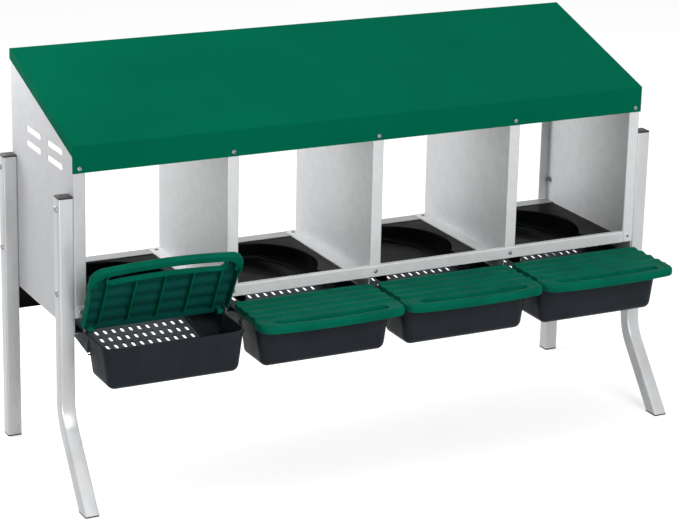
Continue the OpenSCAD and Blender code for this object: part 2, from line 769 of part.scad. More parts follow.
// Outline of the perforated ramp, drawn flat
module ramp_plan() {
    front = (ramp_gap + tray_wall - tray_reach + ramp_front_in) / cos(ramp_slope);
    back = (ramp_back_y - 1) / cos(ramp_slope);
    left = ramp_gap + tray_wall - tray_half;
    left_in = left + ramp_draft_in;
    right = ridge_x - ramp_gap;
    corner = tray_corner_r - tray_wall;
    difference() {
        union() {
            translate([left_in, front + corner]) square([right - left_in, -front - corner]);
            translate([left_in + corner, front]) square([right - left_in - corner, corner + 1]);
            translate([left_in + corner, front + corner]) circle(corner);
            translate([left, ramp_gap - tray_side_end + tray_wall])
                square([right - left, back + tray_side_end - ramp_gap - tray_wall]);
        }
        for (row = [0:rows - 1], col = [0:columns - 1])
            translate([slot_last_x - col * slot_pitch_x, slot_back_y - row * slot_pitch_y])
                rotate(90) stadium(slot_l, slot_w);
    }
}

// Ramp with the cheek that closes the gap under the tray's left arm
module ramp_body() {
    cheek_y = ramp_gap - tray_side_end + tray_wall;
    cheek_z = tray_rim_z - arm_h - ramp_gap;
    under = ramp_t / cos(ramp_slope);
    translate([0, 0, ramp_front_z]) rotate([ramp_slope, 0, 0])
        translate([0, 0, -ramp_t]) linear_extrude(ramp_t) ramp_plan();
    along_x(-tray_half, tray_wall + 2 * ramp_gap - tray_half)
        polygon([[cheek_y, ramp_top_z(cheek_y) - under],
                 [arm_reach, ramp_top_z(arm_reach) - under],
                 [arm_reach, cheek_z], [cheek_y, cheek_z]]);
}

// How far the tub's sides and its front have drawn in at the ramp's front edge
ramp_drop = tray_rim_z - ramp_top_z(-tray_reach) + ramp_t;
ramp_draft_in = tray_draft * ramp_drop / (tray_h - tray_base_r);
ramp_front_in = tray_front_draft * ramp_drop / (tray_h - tray_base_r);

module tray_ramp(i) {
    color(ramp_grey) placed() translate([-half_w + (i - 0.5) * pitch, 0, 0]) ramp_body();
}

module tray_ramp_1() tray_ramp(1);
module tray_ramp_2() tray_ramp(2);
module tray_ramp_3() tray_ramp(3);
module tray_ramp_4() tray_ramp(4);

// Front edge of the lid at x, for an edge set back by inset
function bow_y(x, inset = 0) = inset - lid_l + bow_r - sqrt(bow_r * bow_r - x * x);
// Height of the wavy sheet's lower face at y, flat in front of the waves
wave_count = 4;
wave_end = lid_tail - 1;
wave_start = wave_end - wave_count * wave_pitch;
function wave_z(y) = lid_under + wave_h * (1 - cos(360 * (y - wave_start) / wave_pitch)) / 2;
wave_steps = 8;
wave_line = [for (i = [0:wave_count * wave_steps])
    let (y = wave_start + i * wave_pitch / wave_steps) [y, wave_z(y)]];

// Right half of the lid's plan around its hinge axis, from the tail to the front edge
function lid_side(inset) =
    let (w0 = lid_rear_w / 2 - inset, w1 = lid_mid_w / 2 - inset, w2 = w1 + lid_flare / 2,
         w3 = lid_front_w / 2 - inset, run = w3 - lid_corner_r, step = w3 - w2)
    concat([[w0, lid_tail - inset], [w0, 0], [w1, w0 - w1], [w2, wave_start + step],
            [w3 - step / 4, wave_start], [w3, wave_start - step / 2]],
           reversed(corner_arc([run, bow_y(run, inset)], [w3, bow_y(w3, inset)],
                               [w3, 0], lid_corner_r, 8)),
           [for (i = [11:-1:6]) let (x = -run + run * i / 6) [x, bow_y(x, inset)]]);

module lid_plan(inset = 0) {
    right = lid_side(inset);
    polygon(concat(right, [for (p = reversed(right)) [-p[0], p[1]]]));
}

// Ring between two bowed lines, set back from the front edge by a and b
module bow_band(a, b) {
    difference() {
        translate([0, bow_r - lid_l + a]) circle(bow_r, $fn = 360);
        translate([0, bow_r - lid_l + b]) circle(bow_r, $fn = 360);
        translate([-bow_r, bow_r / 2]) square([2 * bow_r, 2 * bow_r]);
    }
}

// Stretch of a bowed band that ends with round tips, like the handle slot
module grip_shape(a, b) {
    tip = (grip_l - grip_w) / 2;
    intersection() {
        bow_band(a, b);
        square([2 * tip, 4 * lid_l], center = true);
    }
    for (s = [-1, 1])
        translate([s * tip, bow_y(tip, (a + b) / 2)]) circle((b - a) / 2);
}

// Thick front rim, whose upper outer edge is rounded in steps
module lid_rim() {
    top = lid_under + lid_t + lid_rim_up;
    steps = 5;
    translate([0, 0, top - lid_rim_h]) linear_extrude(lid_rim_h - lid_rim_r)
        intersection() {
            lid_plan();
            bow_band(-1, lid_rim_w);
        }
    for (i = [1:steps]) {
        low = lid_rim_r * sin(90 * (i - 1) / steps);
        translate([0, 0, top - lid_rim_r + low])
            linear_extrude(lid_rim_r * sin(90 * i / steps) - low) intersection() {
                lid_plan(lid_rim_r * (1 - cos(90 * (i - 0.5) / steps)));
                bow_band(-1, lid_rim_w);
            }
    }
}

// Lid around its hinge axis at the origin, closed
module lid_body() {
    top_back = lid_under + lid_t;
    slot0 = lid_rim_w;
    slot1 = lid_rim_w + grip_w;
    difference() {
        union() {
            // Wavy sheet
            intersection() {
                along_x(-lid_front_w, lid_front_w)
                    polygon(concat([[-lid_l - 5, lid_under]], wave_line, [[lid_tail, lid_under]],
                                   [[lid_tail, top_back]],
                                   [for (p = reversed(wave_line)) [p[0], p[1] + lid_t]],
                                   [[-lid_l - 5, top_back]]));
                translate([0, 0, -lid_l]) linear_extrude(2 * lid_l) lid_plan();
            }
            lid_rim();
            // Flange that stiffens the sheet round the handle slot
            translate([0, 0, lid_under - grip_flange]) linear_extrude(grip_flange + eps)
                intersection() {
                    lid_plan(2 * lid_t);
                    grip_shape(slot0 - lid_t, slot1 + lid_t);
                }
            intersection() {
                union() {
                    // Skirts that come down to the tray's rim
                    translate([0, 0, lid_skirt_z]) linear_extrude(lid_l) intersection() {
                        difference() {
                            lid_plan();
                            lid_plan(lid_t);
                        }
                        translate([-lid_front_w, -lid_l])
                            square([2 * lid_front_w, lid_l - ear_r - 2 * lid_t]);
                    }
                    // Ribs along the underside
                    for (k = [-2:2])
                        block([k * rib_pitch - rib_t / 2, bow_y(k * rib_pitch, slot1), lid_under - rib_h],
                              [k * rib_pitch + rib_t / 2, -barrel_r - 1, top_back]);
                    // Webs over the hinge barrels
                    for (x0 = [barrel_x0, -barrel_x0 - barrel_l])
                        block([x0, -barrel_r / 2, 0], [x0 + barrel_l, barrel_r / 2, top_back]);
                }
                along_x(-lid_front_w, lid_front_w)
                    polygon(concat([[-lid_l - 5, lid_under + eps]],
                                   [for (p = wave_line) [p[0], p[1] + eps]],
                                   [[lid_tail, lid_under + eps], [lid_tail, -lid_l],
                                    [-lid_l - 5, -lid_l]]));
            }
            // Hinge barrels under the rear corners
            for (x0 = [barrel_x0, -barrel_x0 - barrel_l])
                rod_x(x0, x0 + barrel_l, 0, 0, barrel_r);
        }
        // Handle slot behind the rim
        translate([0, 0, -lid_l]) linear_extrude(2 * lid_l) grip_shape(slot0, slot1);
        rod_x(-tray_half, tray_half, 0, 0, pin_r + pin_play);
    }
}

barrel_x0 = tray_half - ear_t - move_gap - barrel_l;

module tray_lid(i) {
    color(lid_green) placed()
        translate([-half_w + (i - 0.5) * pitch, -hinge_y, hinge_z])
            rotate([-lid_angles[i - 1], 0, 0]) lid_body();
}

module tray_lid_1() tray_lid(1);
module tray_lid_2() tray_lid(2);
module tray_lid_3() tray_lid(3);
module tray_lid_4() tray_lid(4);

// Two headed pins for each lid, fixed in the tray's ears
module hinge_pins() {
    head_t = 1.5;
    color(steel) placed() for (i = [1:compartments], s = [-1, 1])
        translate([-half_w + (i - 0.5) * pitch, -hinge_y, hinge_z])
            mirror([s > 0 ? 0 : 1, 0, 0]) {
                rod_x(barrel_x0 + 1, tray_half + eps, 0, 0, pin_r);
                rod_x(tray_half, tray_half + head_t, 0, 0, pin_r + 1.5);
            }
}

// Leg outline seen from the side, drawn in by inset; bend = 0 makes it straight
module leg_outline(y, inset, bend) {
    half = leg_w / 2 - inset;
    top = leg_top_z - cap_t;
    centre = [y - leg_bend_r, leg_bend_z];
    steps = 12;
    function at(r, a) = centre + r * [cos(a), -sin(a)];
    // Length of each side below the bend, down to the level cut of the foot
    function run(r) = [at(r, leg_kick)[0] - (at(r, leg_kick)[1] - cap_t) * tan(leg_kick), cap_t];
    if (bend == 0) translate([y - half, cap_t]) square([2 * half, top - cap_t]);
    else polygon(concat(
        [[y + half, top]],
        [for (i = [0:steps]) at(leg_bend_r + half, leg_kick * i / steps)],
        [run(leg_bend_r + half), run(leg_bend_r - half)],
        [for (i = [steps:-1:0]) at(leg_bend_r - half, leg_kick * i / steps)],
        [[y - half, top]]));
}

module leg(side, y, bend) {
    mid = side * leg_x;
    color(galvanised) placed() difference() {
        along_x(mid - leg_w / 2, mid + leg_w / 2) leg_outline(y, 0, bend);
        along_x(mid - leg_w / 2 + leg_wall, mid + leg_w / 2 - leg_wall) {
            leg_outline(y, leg_wall, bend);
            // Opens both ends of the tube
            translate([y - leg_w / 2 + leg_wall, leg_top_z - 2 * cap_t])
                square([leg_w - 2 * leg_wall, 2 * cap_t]);
        }
        leg_bolt_holes();
    }
}

module leg_front_left() leg(-1, leg_w / 2, 1);
module leg_front_right() leg(1, leg_w / 2, 1);
module leg_rear_left() leg(-1, rear_leg_y, 0);
module leg_rear_right() leg(1, rear_leg_y, 0);

module leg_caps() {
    plug = leg_w - 2 * leg_wall - 2 * plug_gap;
    color(tray_black) placed() for (s = [-1, 1], y = [leg_w / 2, rear_leg_y])
        translate([s * leg_x, y, leg_top_z - cap_t]) {
            translate([-leg_w / 2, -leg_w / 2, 0]) cube([leg_w, leg_w, cap_t]);
            translate([-plug / 2, -plug / 2, -plug_l]) cube([plug, plug, plug_l + eps]);
        }
}

// Feet: a plate under each tube, cut level, and a plug inside it
module foot_caps() {
    plug = leg_w - 2 * leg_wall - 2 * plug_gap;
    // Middle of the bent tube where it is cut level, and its length there
    end = [leg_w / 2 - leg_bend_r + leg_bend_r * cos(leg_kick)
           - (leg_bend_z - leg_end_drop - cap_t) * tan(leg_kick), cap_t];
    cut = leg_w / cos(leg_kick);
    plug_cut = plug / cos(leg_kick);
    color(tray_black) placed() for (s = [-1, 1]) {
        translate([s * leg_x, rear_leg_y, 0]) {
            translate([-leg_w / 2, -leg_w / 2, 0]) cube([leg_w, leg_w, cap_t]);
            translate([-plug / 2, -plug / 2, cap_t - eps]) cube([plug, plug, plug_l]);
        }
        translate([s * leg_x - leg_w / 2, end[0] - cut / 2, 0]) cube([leg_w, cut, cap_t]);
        along_x(s * leg_x - plug / 2, s * leg_x + plug / 2)
            polygon([[end[0] - plug_cut / 2, cap_t - eps], [end[0] + plug_cut / 2, cap_t - eps],
                     [end[0] + plug_cut / 2 + plug_l * tan(leg_kick), cap_t + plug_l],
                     [end[0] - plug_cut / 2 + plug_l * tan(leg_kick), cap_t + plug_l]]);
    }
}

// Pan head screw along +Y, with its head's underside at the origin
module sheet_screw() {
    rod_y(0, -screw_head_h, 0, 0, screw_head_r);
    rod_y(0, -eps, screw_l, 0, screw_r);
}

module roof_screws() {
    color(steel) placed() for (x = roof_screw_x) translate([x, -roof_t, roof_screw_z]) sheet_screw();
}

module rail_screws() {
    color(steel) placed() for (x = post_screw_x) translate([x, -sheet_t, rail_screw_z]) sheet_screw();
}

module runner_screws() {
    color(steel) placed() for (x = divider_x, y = runner_screw_y)
        translate([x - foot_flange_w / 2, y, floor_z + sheet_t]) rotate([-90, 0, 0]) sheet_screw();
}

// Bolts through leg and side panel, with the head on the leg's outer face
module leg_bolts() {
    through = leg_w + sheet_t + nut_t + 2;
    color(steel) placed() for (p = leg_bolt_places)
        translate([p[0] * (half_w + leg_w), p[1], p[2]]) mirror([p[0] > 0 ? 0 : 1, 0, 0]) {
            rod_x(0, bolt_head_h, 0, 0, bolt_head_r);
            rod_x(-through, eps, 0, 0, bolt_r);
        }
}

module leg_nuts() {
    color(steel) placed() for (p = leg_bolt_places)
        translate([p[0] * (half_w - sheet_t), p[1], p[2]]) mirror([p[0] > 0 ? 1 : 0, 0, 0])
            rotate([0, 90, 0]) difference() {
                cylinder(d = nut_w, h = nut_t, $fn = 6);
                translate([0, 0, -1]) cylinder(r = bolt_r + seat_play, h = nut_t + 2);
            }
}

roof();
side_panel_left();
side_panel_right();
divider_1();
divider_2();
divider_3();
floor_runner_1();
floor_runner_2();
floor_runner_3();
front_rail();
rear_rail();
nest_pan_1();
nest_pan_2();
nest_pan_3();
nest_pan_4();
collecting_tray_1();
collecting_tray_2();
collecting_tray_3();
collecting_tray_4();
tray_ramp_1();
tray_ramp_2();
tray_ramp_3();
tray_ramp_4();
tray_lid_1();
tray_lid_2();
tray_lid_3();
tray_lid_4();
hinge_pins();
leg_front_left();
leg_front_right();
leg_rear_left();
leg_rear_right();
leg_caps();
foot_caps();
roof_screws();
rail_screws();
runner_screws();
leg_bolts();
leg_nuts();
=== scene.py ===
"""Looks of the roll out nest box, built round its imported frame.

Every length is in metres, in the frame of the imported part: +X to the viewer's right along the
row of compartments, -Y towards the viewer and +Z up. Sizes that are written from the cabinet's
front face are moved into that frame by FRONT_Y.
"""

from __future__ import annotations

import logging
import math
from abc import ABC, abstractmethod
from collections.abc import Callable, Iterable
from dataclasses import dataclass, field
from enum import Enum

import bmesh
import bpy
from mathutils import Matrix, Vector


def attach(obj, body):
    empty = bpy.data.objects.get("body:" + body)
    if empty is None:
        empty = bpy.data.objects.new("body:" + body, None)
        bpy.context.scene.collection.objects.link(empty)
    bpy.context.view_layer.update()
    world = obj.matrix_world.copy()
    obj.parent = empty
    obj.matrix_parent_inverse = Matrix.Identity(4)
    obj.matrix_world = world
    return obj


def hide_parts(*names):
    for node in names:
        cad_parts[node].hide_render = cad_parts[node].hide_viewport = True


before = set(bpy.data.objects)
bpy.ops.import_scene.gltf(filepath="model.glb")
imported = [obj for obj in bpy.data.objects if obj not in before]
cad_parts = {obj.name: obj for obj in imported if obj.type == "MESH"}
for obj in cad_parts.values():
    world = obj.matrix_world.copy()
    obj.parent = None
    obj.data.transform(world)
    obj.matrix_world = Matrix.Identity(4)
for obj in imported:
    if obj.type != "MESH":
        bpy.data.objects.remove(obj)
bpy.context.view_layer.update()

LOG = logging.getLogger("nest_box")

PHOTO_WIDTH = 679
FRONT_Y = -0.0806
PITCH = 0.3
COMPARTMENTS = 4
ROOT = "stand"
Colour = tuple[float, float, float]


class Slot(Enum):
    """The record's material slots."""

    GALVANISED = "galvanised_steel"
    ROOF = "roof_paint"
    LID = "lid_plastic"
    TRAY = "tray_plastic"
    RAMP = "ramp_plastic"
    PAN = "pan_plastic"
    CAP = "cap_plastic"
    FASTENER = "fastener_steel"


class Shader:
    """A node material that is being put together round one Principled shader."""

    def __init__(self, name: str, colour: Colour, metallic: float, roughness: float) -> None:
        """Starts the material.

        Args:
            name: the material's name.
            colour: base colour, linear.
            metallic: 1 for bare metal, 0 for paint and plastic.
            roughness: roughness of the surface.
        """
        self.material = bpy.data.materials.new(name)
        self.material.use_nodes = True
        self.material.diffuse_color = (*colour, 1.0)
        self.tree = self.material.node_tree
        self.tree.nodes.clear()
        self.output = self.tree.nodes.new("ShaderNodeOutputMaterial")
        self.surface = self.tree.nodes.new("ShaderNodeBsdfPrincipled")
        self.tree.links.new(self.surface.outputs["BSDF"], self.output.inputs["Surface"])
        self.surface.inputs["Base Color"].default_value = (*colour, 1.0)
        self.surface.inputs["Metallic"].default_value = metallic
        self.surface.inputs["Roughness"].default_value = roughness
        self.place = self.tree.nodes.new("ShaderNodeTexCoord")
        self.height: bpy.types.NodeSocket | None = None

    def set(self, **values: float | tuple[float, ...]) -> Shader:
        """Sets plain values on the shader's own sockets, named with _ for a space."""
        for name, value in values.items():
            self.surface.inputs[name.replace("_", " ")].default_value = value
        return self

    def at(self, stretch: tuple[float, float, float] = (1.0, 1.0, 1.0)) -> bpy.types.NodeSocket:
        """Object coordinates, stretched along the axes."""
        mapping = self.tree.nodes.new("ShaderNodeMapping")
        mapping.inputs["Scale"].default_value = stretch
        self.tree.links.new(self.place.outputs["Object"], mapping.inputs["Vector"])
        return mapping.outputs["Vector"]

    def noise(self, scale: float, detail: float = 2.0,
              stretch: tuple[float, float, float] = (1.0, 1.0, 1.0)) -> bpy.types.NodeSocket:
        """Smooth noise from 0 to 1.

        Args:
            scale: how many times it changes in a metre.
            detail: how many finer layers it has.
            stretch: how it is pulled along the axes.

        Returns:
            The noise's value.
        """
        node = self.tree.nodes.new("ShaderNodeTexNoise")
        node.inputs["Scale"].default_value = scale
        node.inputs["Detail"].default_value = detail
        self.tree.links.new(self.at(stretch), node.inputs["Vector"])
        return node.outputs["Fac"]

    def flakes(self, scale: float) -> bpy.types.NodeSocket:
        """Crystal flakes, each of one grey value."""
        node = self.tree.nodes.new("ShaderNodeTexVoronoi")
        node.inputs["Scale"].default_value = scale
        self.tree.links.new(self.at(), node.inputs["Vector"])
        return node.outputs["Color"]

    def spread(self, factor: bpy.types.NodeSocket, low: float, high: float,
               span: tuple[float, float] = (0.3, 0.7)) -> bpy.types.NodeSocket:
        """Maps the span of a noise to low and high."""
        node = self.tree.nodes.new("ShaderNodeMapRange")
        node.inputs["From Min"].default_value = span[0]
        node.inputs["From Max"].default_value = span[1]
        node.inputs["To Min"].default_value = low
        node.inputs["To Max"].default_value = high
        self.tree.links.new(factor, node.inputs["Value"])
        return node.outputs["Result"]

    def blend(self, factor: bpy.types.NodeSocket, low: Colour, high: Colour,
              span: tuple[float, float] = (0.35, 0.65)) -> bpy.types.NodeSocket:
        """Runs from one colour to another over a noise's span."""
        node = self.tree.nodes.new("ShaderNodeValToRGB")
        node.color_ramp.elements[0].position = span[0]
        node.color_ramp.elements[0].color = (*low, 1.0)
        node.color_ramp.elements[1].position = span[1]
        node.color_ramp.elements[1].color = (*high, 1.0)
        self.tree.links.new(factor, node.inputs["Fac"])
        return node.outputs["Color"]

    def vary_colour(self, factor: bpy.types.NodeSocket, low: Colour, high: Colour) -> Shader:
        """Lets the base colour run between two colours."""
        self.tree.links.new(self.blend(factor, low, high), self.surface.inputs["Base Color"])
        return self

    def vary_roughness(self, factor: bpy.types.NodeSocket, low: float, high: float) -> Shader:
        """Lets the roughness run between two values."""
        self.tree.links.new(self.spread(factor, low, high), self.surface.inputs["Roughness"])
        return self

    def bump(self, factor: bpy.types.NodeSocket, depth: float, strength: float = 1.0) -> Shader:
        """Adds a relief of the given depth on top of what is there."""
        node = self.tree.nodes.new("ShaderNodeBump")
        node.inputs["Strength"].default_value = strength
        node.inputs["Distance"].default_value = depth
        self.tree.links.new(factor, node.inputs["Height"])
        if self.height is not None:
            self.tree.links.new(self.height, node.inputs["Normal"])
        self.height = node.outputs["Normal"]
        self.tree.links.new(self.height, self.surface.inputs["Normal"])
        return self


def scaled(colour: Colour, factor: float) -> Colour:
    """The colour made lighter or darker by a factor."""
    return (colour[0] * factor, colour[1] * factor, colour[2] * factor)


class Finish(ABC):
    """A surface finish, which makes its material once."""

    _made: dict[str, bpy.types.Material] = {}

    @abstractmethod
    def build(self) -> bpy.types.Material:
        """Makes the material."""

    def material(self) -> bpy.types.Material:
        """The finish's material, made at its first use."""
        key = repr(self)
        if key not in Finish._made:
            Finish._made[key] = self.build()
        return Finish._made[key]


@dataclass(frozen=True)
class GalvanisedSheet(Finish):
    """Zinc coated sheet steel with faint crystal flakes."""

    name: str = "galvanised_sheet"
    colour: Colour = (0.5, 0.505, 0.52)
    metallic: float = 0.12
    roughness: float = 0.5
    flake: float = 0.02
    flake_scale: float = 70.0

    def build(self) -> bpy.types.Material:
        """Makes the material."""
        shader = Shader(self.name, self.colour, self.metallic, self.roughness)
        flakes = shader.flakes(self.flake_scale)
        shader.vary_colour(flakes, scaled(self.colour, 1 - self.flake),
                           scaled(self.colour, 1 + self.flake))
        shader.vary_roughness(shader.noise(9.0, 3.0), self.roughness - 0.04,
                              self.roughness + 0.05)
        shader.bump(shader.noise(420.0, 2.0), 0.00002, 0.4)
        return shader.material


@dataclass(frozen=True)
class DrawnTube(Finish):
    """Bright galvanised tube, with soft dents all along it."""

    name: str = "drawn_tube"
    colour: Colour = (0.54, 0.55, 0.56)
    metallic: float = 0.2
    roughness: float = 0.32

    def build(self) -> bpy.types.Material:
        """Makes the material."""
        shader = Shader(self.name, self.colour, self.metallic, self.roughness)
        shader.vary_colour(shader.noise(30.0, 3.0, (1.0, 1.0, 0.2)), scaled(self.colour, 0.93),
                           scaled(self.colour, 1.05))
        shader.vary_roughness(shader.noise(60.0, 3.0, (1.0, 1.0, 0.1)),
                              self.roughness - 0.05, self.roughness + 0.08)
        shader.bump(shader.noise(14.0, 1.0, (0.6, 0.6, 1.4)), 0.0009, 0.3)
        return shader.material


@dataclass(frozen=True)
class PowderCoat(Finish):
    """Powder coated steel with a fine orange peel."""

    name: str = "powder_coat"
    colour: Colour = (0.0002, 0.114, 0.06)
    roughness: float = 0.55

    def build(self) -> bpy.types.Material:
        """Makes the material."""
        shader = Shader(self.name, self.colour, 0.0, self.roughness)
        shader.set(Specular_IOR_Level=0.004)
        shader.vary_colour(shader.noise(5.0, 4.0), scaled(self.colour, 0.95),
                           scaled(self.colour, 1.05))
        shader.vary_roughness(shader.noise(60.0, 3.0), self.roughness - 0.04,
                              self.roughness + 0.05)
        shader.bump(shader.noise(700.0, 2.0), 0.00005, 0.5)
        return shader.material


@dataclass(frozen=True)
class MouldedPlastic(Finish):
    """Injection moulded plastic with a fine grain."""

    name: str
    colour: Colour
    roughness: float
    specular: float = 0.5
    grain: float = 0.00003

    def build(self) -> bpy.types.Material:
        """Makes the material."""
        shader = Shader(self.name, self.colour, 0.0, self.roughness)
        shader.set(Specular_IOR_Level=self.specular)
        shader.vary_colour(shader.noise(22.0, 4.0), scaled(self.colour, 0.9),
                           scaled(self.colour, 1.1))
        shader.vary_roughness(shader.noise(35.0, 5.0), self.roughness - 0.05,
                              self.roughness + 0.06)
        shader.bump(shader.noise(1400.0, 1.0), self.grain, 0.6)
        return shader.material


@dataclass(frozen=True)
class ZincPlate(Finish):
    """Zinc plated steel of screws, bolts and pins."""

    name: str = "zinc_plate"
    colour: Colour = (0.24, 0.245, 0.25)
    roughness: float = 0.3

    def build(self) -> bpy.types.Material:
        """Makes the material."""
        shader = Shader(self.name, self.colour, 1.0, self.roughness)
        shader.vary_colour(shader.noise(300.0, 2.0), scaled(self.colour, 0.8),
                           scaled(self.colour, 1.15))
        shader.vary_roughness(shader.noise(500.0, 2.0), self.roughness - 0.08,
                              self.roughness + 0.12)
        return shader.material


SHEET = GalvanisedSheet()
# A lighter copy of the same galvanised sheet for the right side panel, the dividers and the front
# rail: painted light, standing in for the light that falls into the nests.
PAINTED_LIGHT_SHEET = GalvanisedSheet("galvanised_sheet_painted_light", (0.61, 0.615, 0.625), 0.2, 0.55)
# A darker copy of the same galvanised sheet for the rear rail: painted shade at the back of the
# cabinet.
PAINTED_SHADE_SHEET = GalvanisedSheet("galvanised_sheet_painted_shade", (0.3, 0.305, 0.315), 0.3, 0.45)
TUBE = DrawnTube()
ROOF_COAT = PowderCoat()
LID_GREEN = MouldedPlastic("lid_green", (0.0003, 0.107, 0.064), 0.5, 0.02, 0.00002)
# A darker copy of the lid green for the lid's underside: painted shade, with a rougher finish and
# a coarser grain.
LID_PAINTED_SHADE = MouldedPlastic("lid_green_painted_shade", (0.002, 0.062, 0.05), 0.6, 0.05, 0.00003)
TRAY_BLACK = MouldedPlastic("tray_black", (0.018, 0.022, 0.0265), 0.34, 0.045)
RAMP_GREY = MouldedPlastic("ramp_grey", (0.037, 0.05, 0.056), 0.5, 0.12)
PAN_BLACK = MouldedPlastic("pan_black", (0.0016, 0.0018, 0.0022), 0.32, 0.028)
CAP_BLACK = MouldedPlastic("cap_black", (0.01, 0.0105, 0.012), 0.5, 0.3)
ZINC = ZincPlate()


def centre_x(index: int) -> float:
    """Middle of a compartment, counted from 1 at the left."""
    return (index - (COMPARTMENTS + 1) / 2) * PITCH


def place_mesh(bm: bmesh.types.BMesh, name: str, matrix: Matrix, finish: Finish,
               body: str, smooth: float = 35.0) -> bpy.types.Object:
    """Turns a finished bmesh into a piece that rides on a body.

    Args:
        bm: the shape, which is freed.
        name: the piece's name.
        matrix: moves the shape to its place in the part's frame.
        finish: the piece's finish.
        body: the body it moves with.
        smooth: edges flatter than this many degrees are shaded smooth.

    Returns:
        The piece.
    """
    bm.transform(matrix)
    bmesh.ops.recalc_face_normals(bm, faces=bm.faces)
    mesh = bpy.data.meshes.new(name)
    bm.to_mesh(mesh)
    bm.free()
    mesh.materials.append(finish.material())
    mesh.shade_smooth()
    mesh.set_sharp_from_angle(angle=math.radians(smooth))
    piece = bpy.data.objects.new(name, mesh)
    bpy.context.scene.collection.objects.link(piece)
    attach(piece, body)
    LOG.info("%s: %d faces on %s", name, len(mesh.polygons), body)
    return piece


def dress(node: str, finish: Finish) -> None:
    """Gives a CAD node its finish.

    Args:
        node: the node's name.
        finish: the finish for its material slots.
    """
    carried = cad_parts[node]
    if not carried.material_slots:
        carried.data.materials.append(None)
    for place in carried.material_slots:
        place.material = finish.material()
    LOG.info("%s: dressed in %s", node, finish.material().name)


def refined(node: str, finish: Finish, body: str = ROOT, smooth: float = 32.0,
            soften: Callable[[bmesh.types.BMesh], None] | None = None) -> bpy.types.Object:
    """Stands a smooth shaded copy of a CAD node in its place.

    Args:
        node: the node's name.
        finish: the copy's finish.
        body: the body it moves with.
        smooth: edges flatter than this many degrees are shaded smooth.
        soften: rounds chosen edges of the merged copy.

    Returns:
        The copy.
    """
    bm = bmesh.new()
    bm.from_mesh(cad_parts[node].data)
    bmesh.ops.remove_doubles(bm, verts=bm.verts, dist=2e-6)
    bmesh.ops.dissolve_limit(bm, angle_limit=math.radians(0.4), verts=bm.verts, edges=bm.edges)
    if soften is not None:
        soften(bm)
    piece = place_mesh(bm, node + "_moulding", Matrix.Identity(4), finish, body, smooth)
    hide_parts(node)
    return piece


def round_edges(bm: bmesh.types.BMesh, edges: Iterable[bmesh.types.BMEdge], radius: float,
                segments: int = 3) -> None:
    """Rounds edges by a radius."""
    bmesh.ops.bevel(bm, geom=list(edges), offset=radius, offset_type="OFFSET",
                    segments=segments, profile=0.5, affect="EDGES", clamp_overlap=True,
                    material=-1)


def rounded_block(low: Vector, high: Vector, radius: float,
                  segments: int = 3) -> bmesh.types.BMesh:
    """A box between two corners with rounded edges."""
    bm = bmesh.new()
    bmesh.ops.create_cube(bm, size=1.0)
    bmesh.ops.scale(bm, vec=high - low, verts=bm.verts)
    bmesh.ops.translate(bm, vec=(low + high) / 2, verts=bm.verts)
    round_edges(bm, bm.edges[:], radius, segments)
    return bm


def gather(parts: Iterable[bmesh.types.BMesh]) -> bmesh.types.BMesh:
    """Joins several shapes into one and frees them."""
    whole = bmesh.new()
    for part in parts:
        mesh = bpy.data.meshes.new("part")
        part.to_mesh(mesh)
        part.free()
        whole.from_mesh(mesh)
        bpy.data.meshes.remove(mesh)
    return whole


def smoothstep(t: float) -> float:
    """Runs softly from 0 to 1."""
    t = min(1.0, max(0.0, t))
    return t * t * (3 - 2 * t)


@dataclass
class Cabinet:
    """Sheet metal cabinet: roof, side panels, dividers, runners and rails."""

    sheets: tuple[str, ...] = (
        "side_panel_left", "floor_runner_1", "floor_runner_2", "floor_runner_3")
    painted_light_walls: tuple[str, ...] = (
        "side_panel_right", "divider_1", "divider_2", "divider_3", "front_rail")

    def build(self) -> None:
        """Dresses the cabinet's sheets."""
        for node in self.sheets:
            dress(node, SHEET)
        # These walls wear the lighter copy of the sheet, which is painted light.
        for node in self.painted_light_walls:
            dress(node, PAINTED_LIGHT_SHEET)
        # The rear rail wears the darker copy of the sheet, which is painted shade.
        dress("rear_rail", PAINTED_SHADE_SHEET)
        dress("roof", ROOF_COAT)


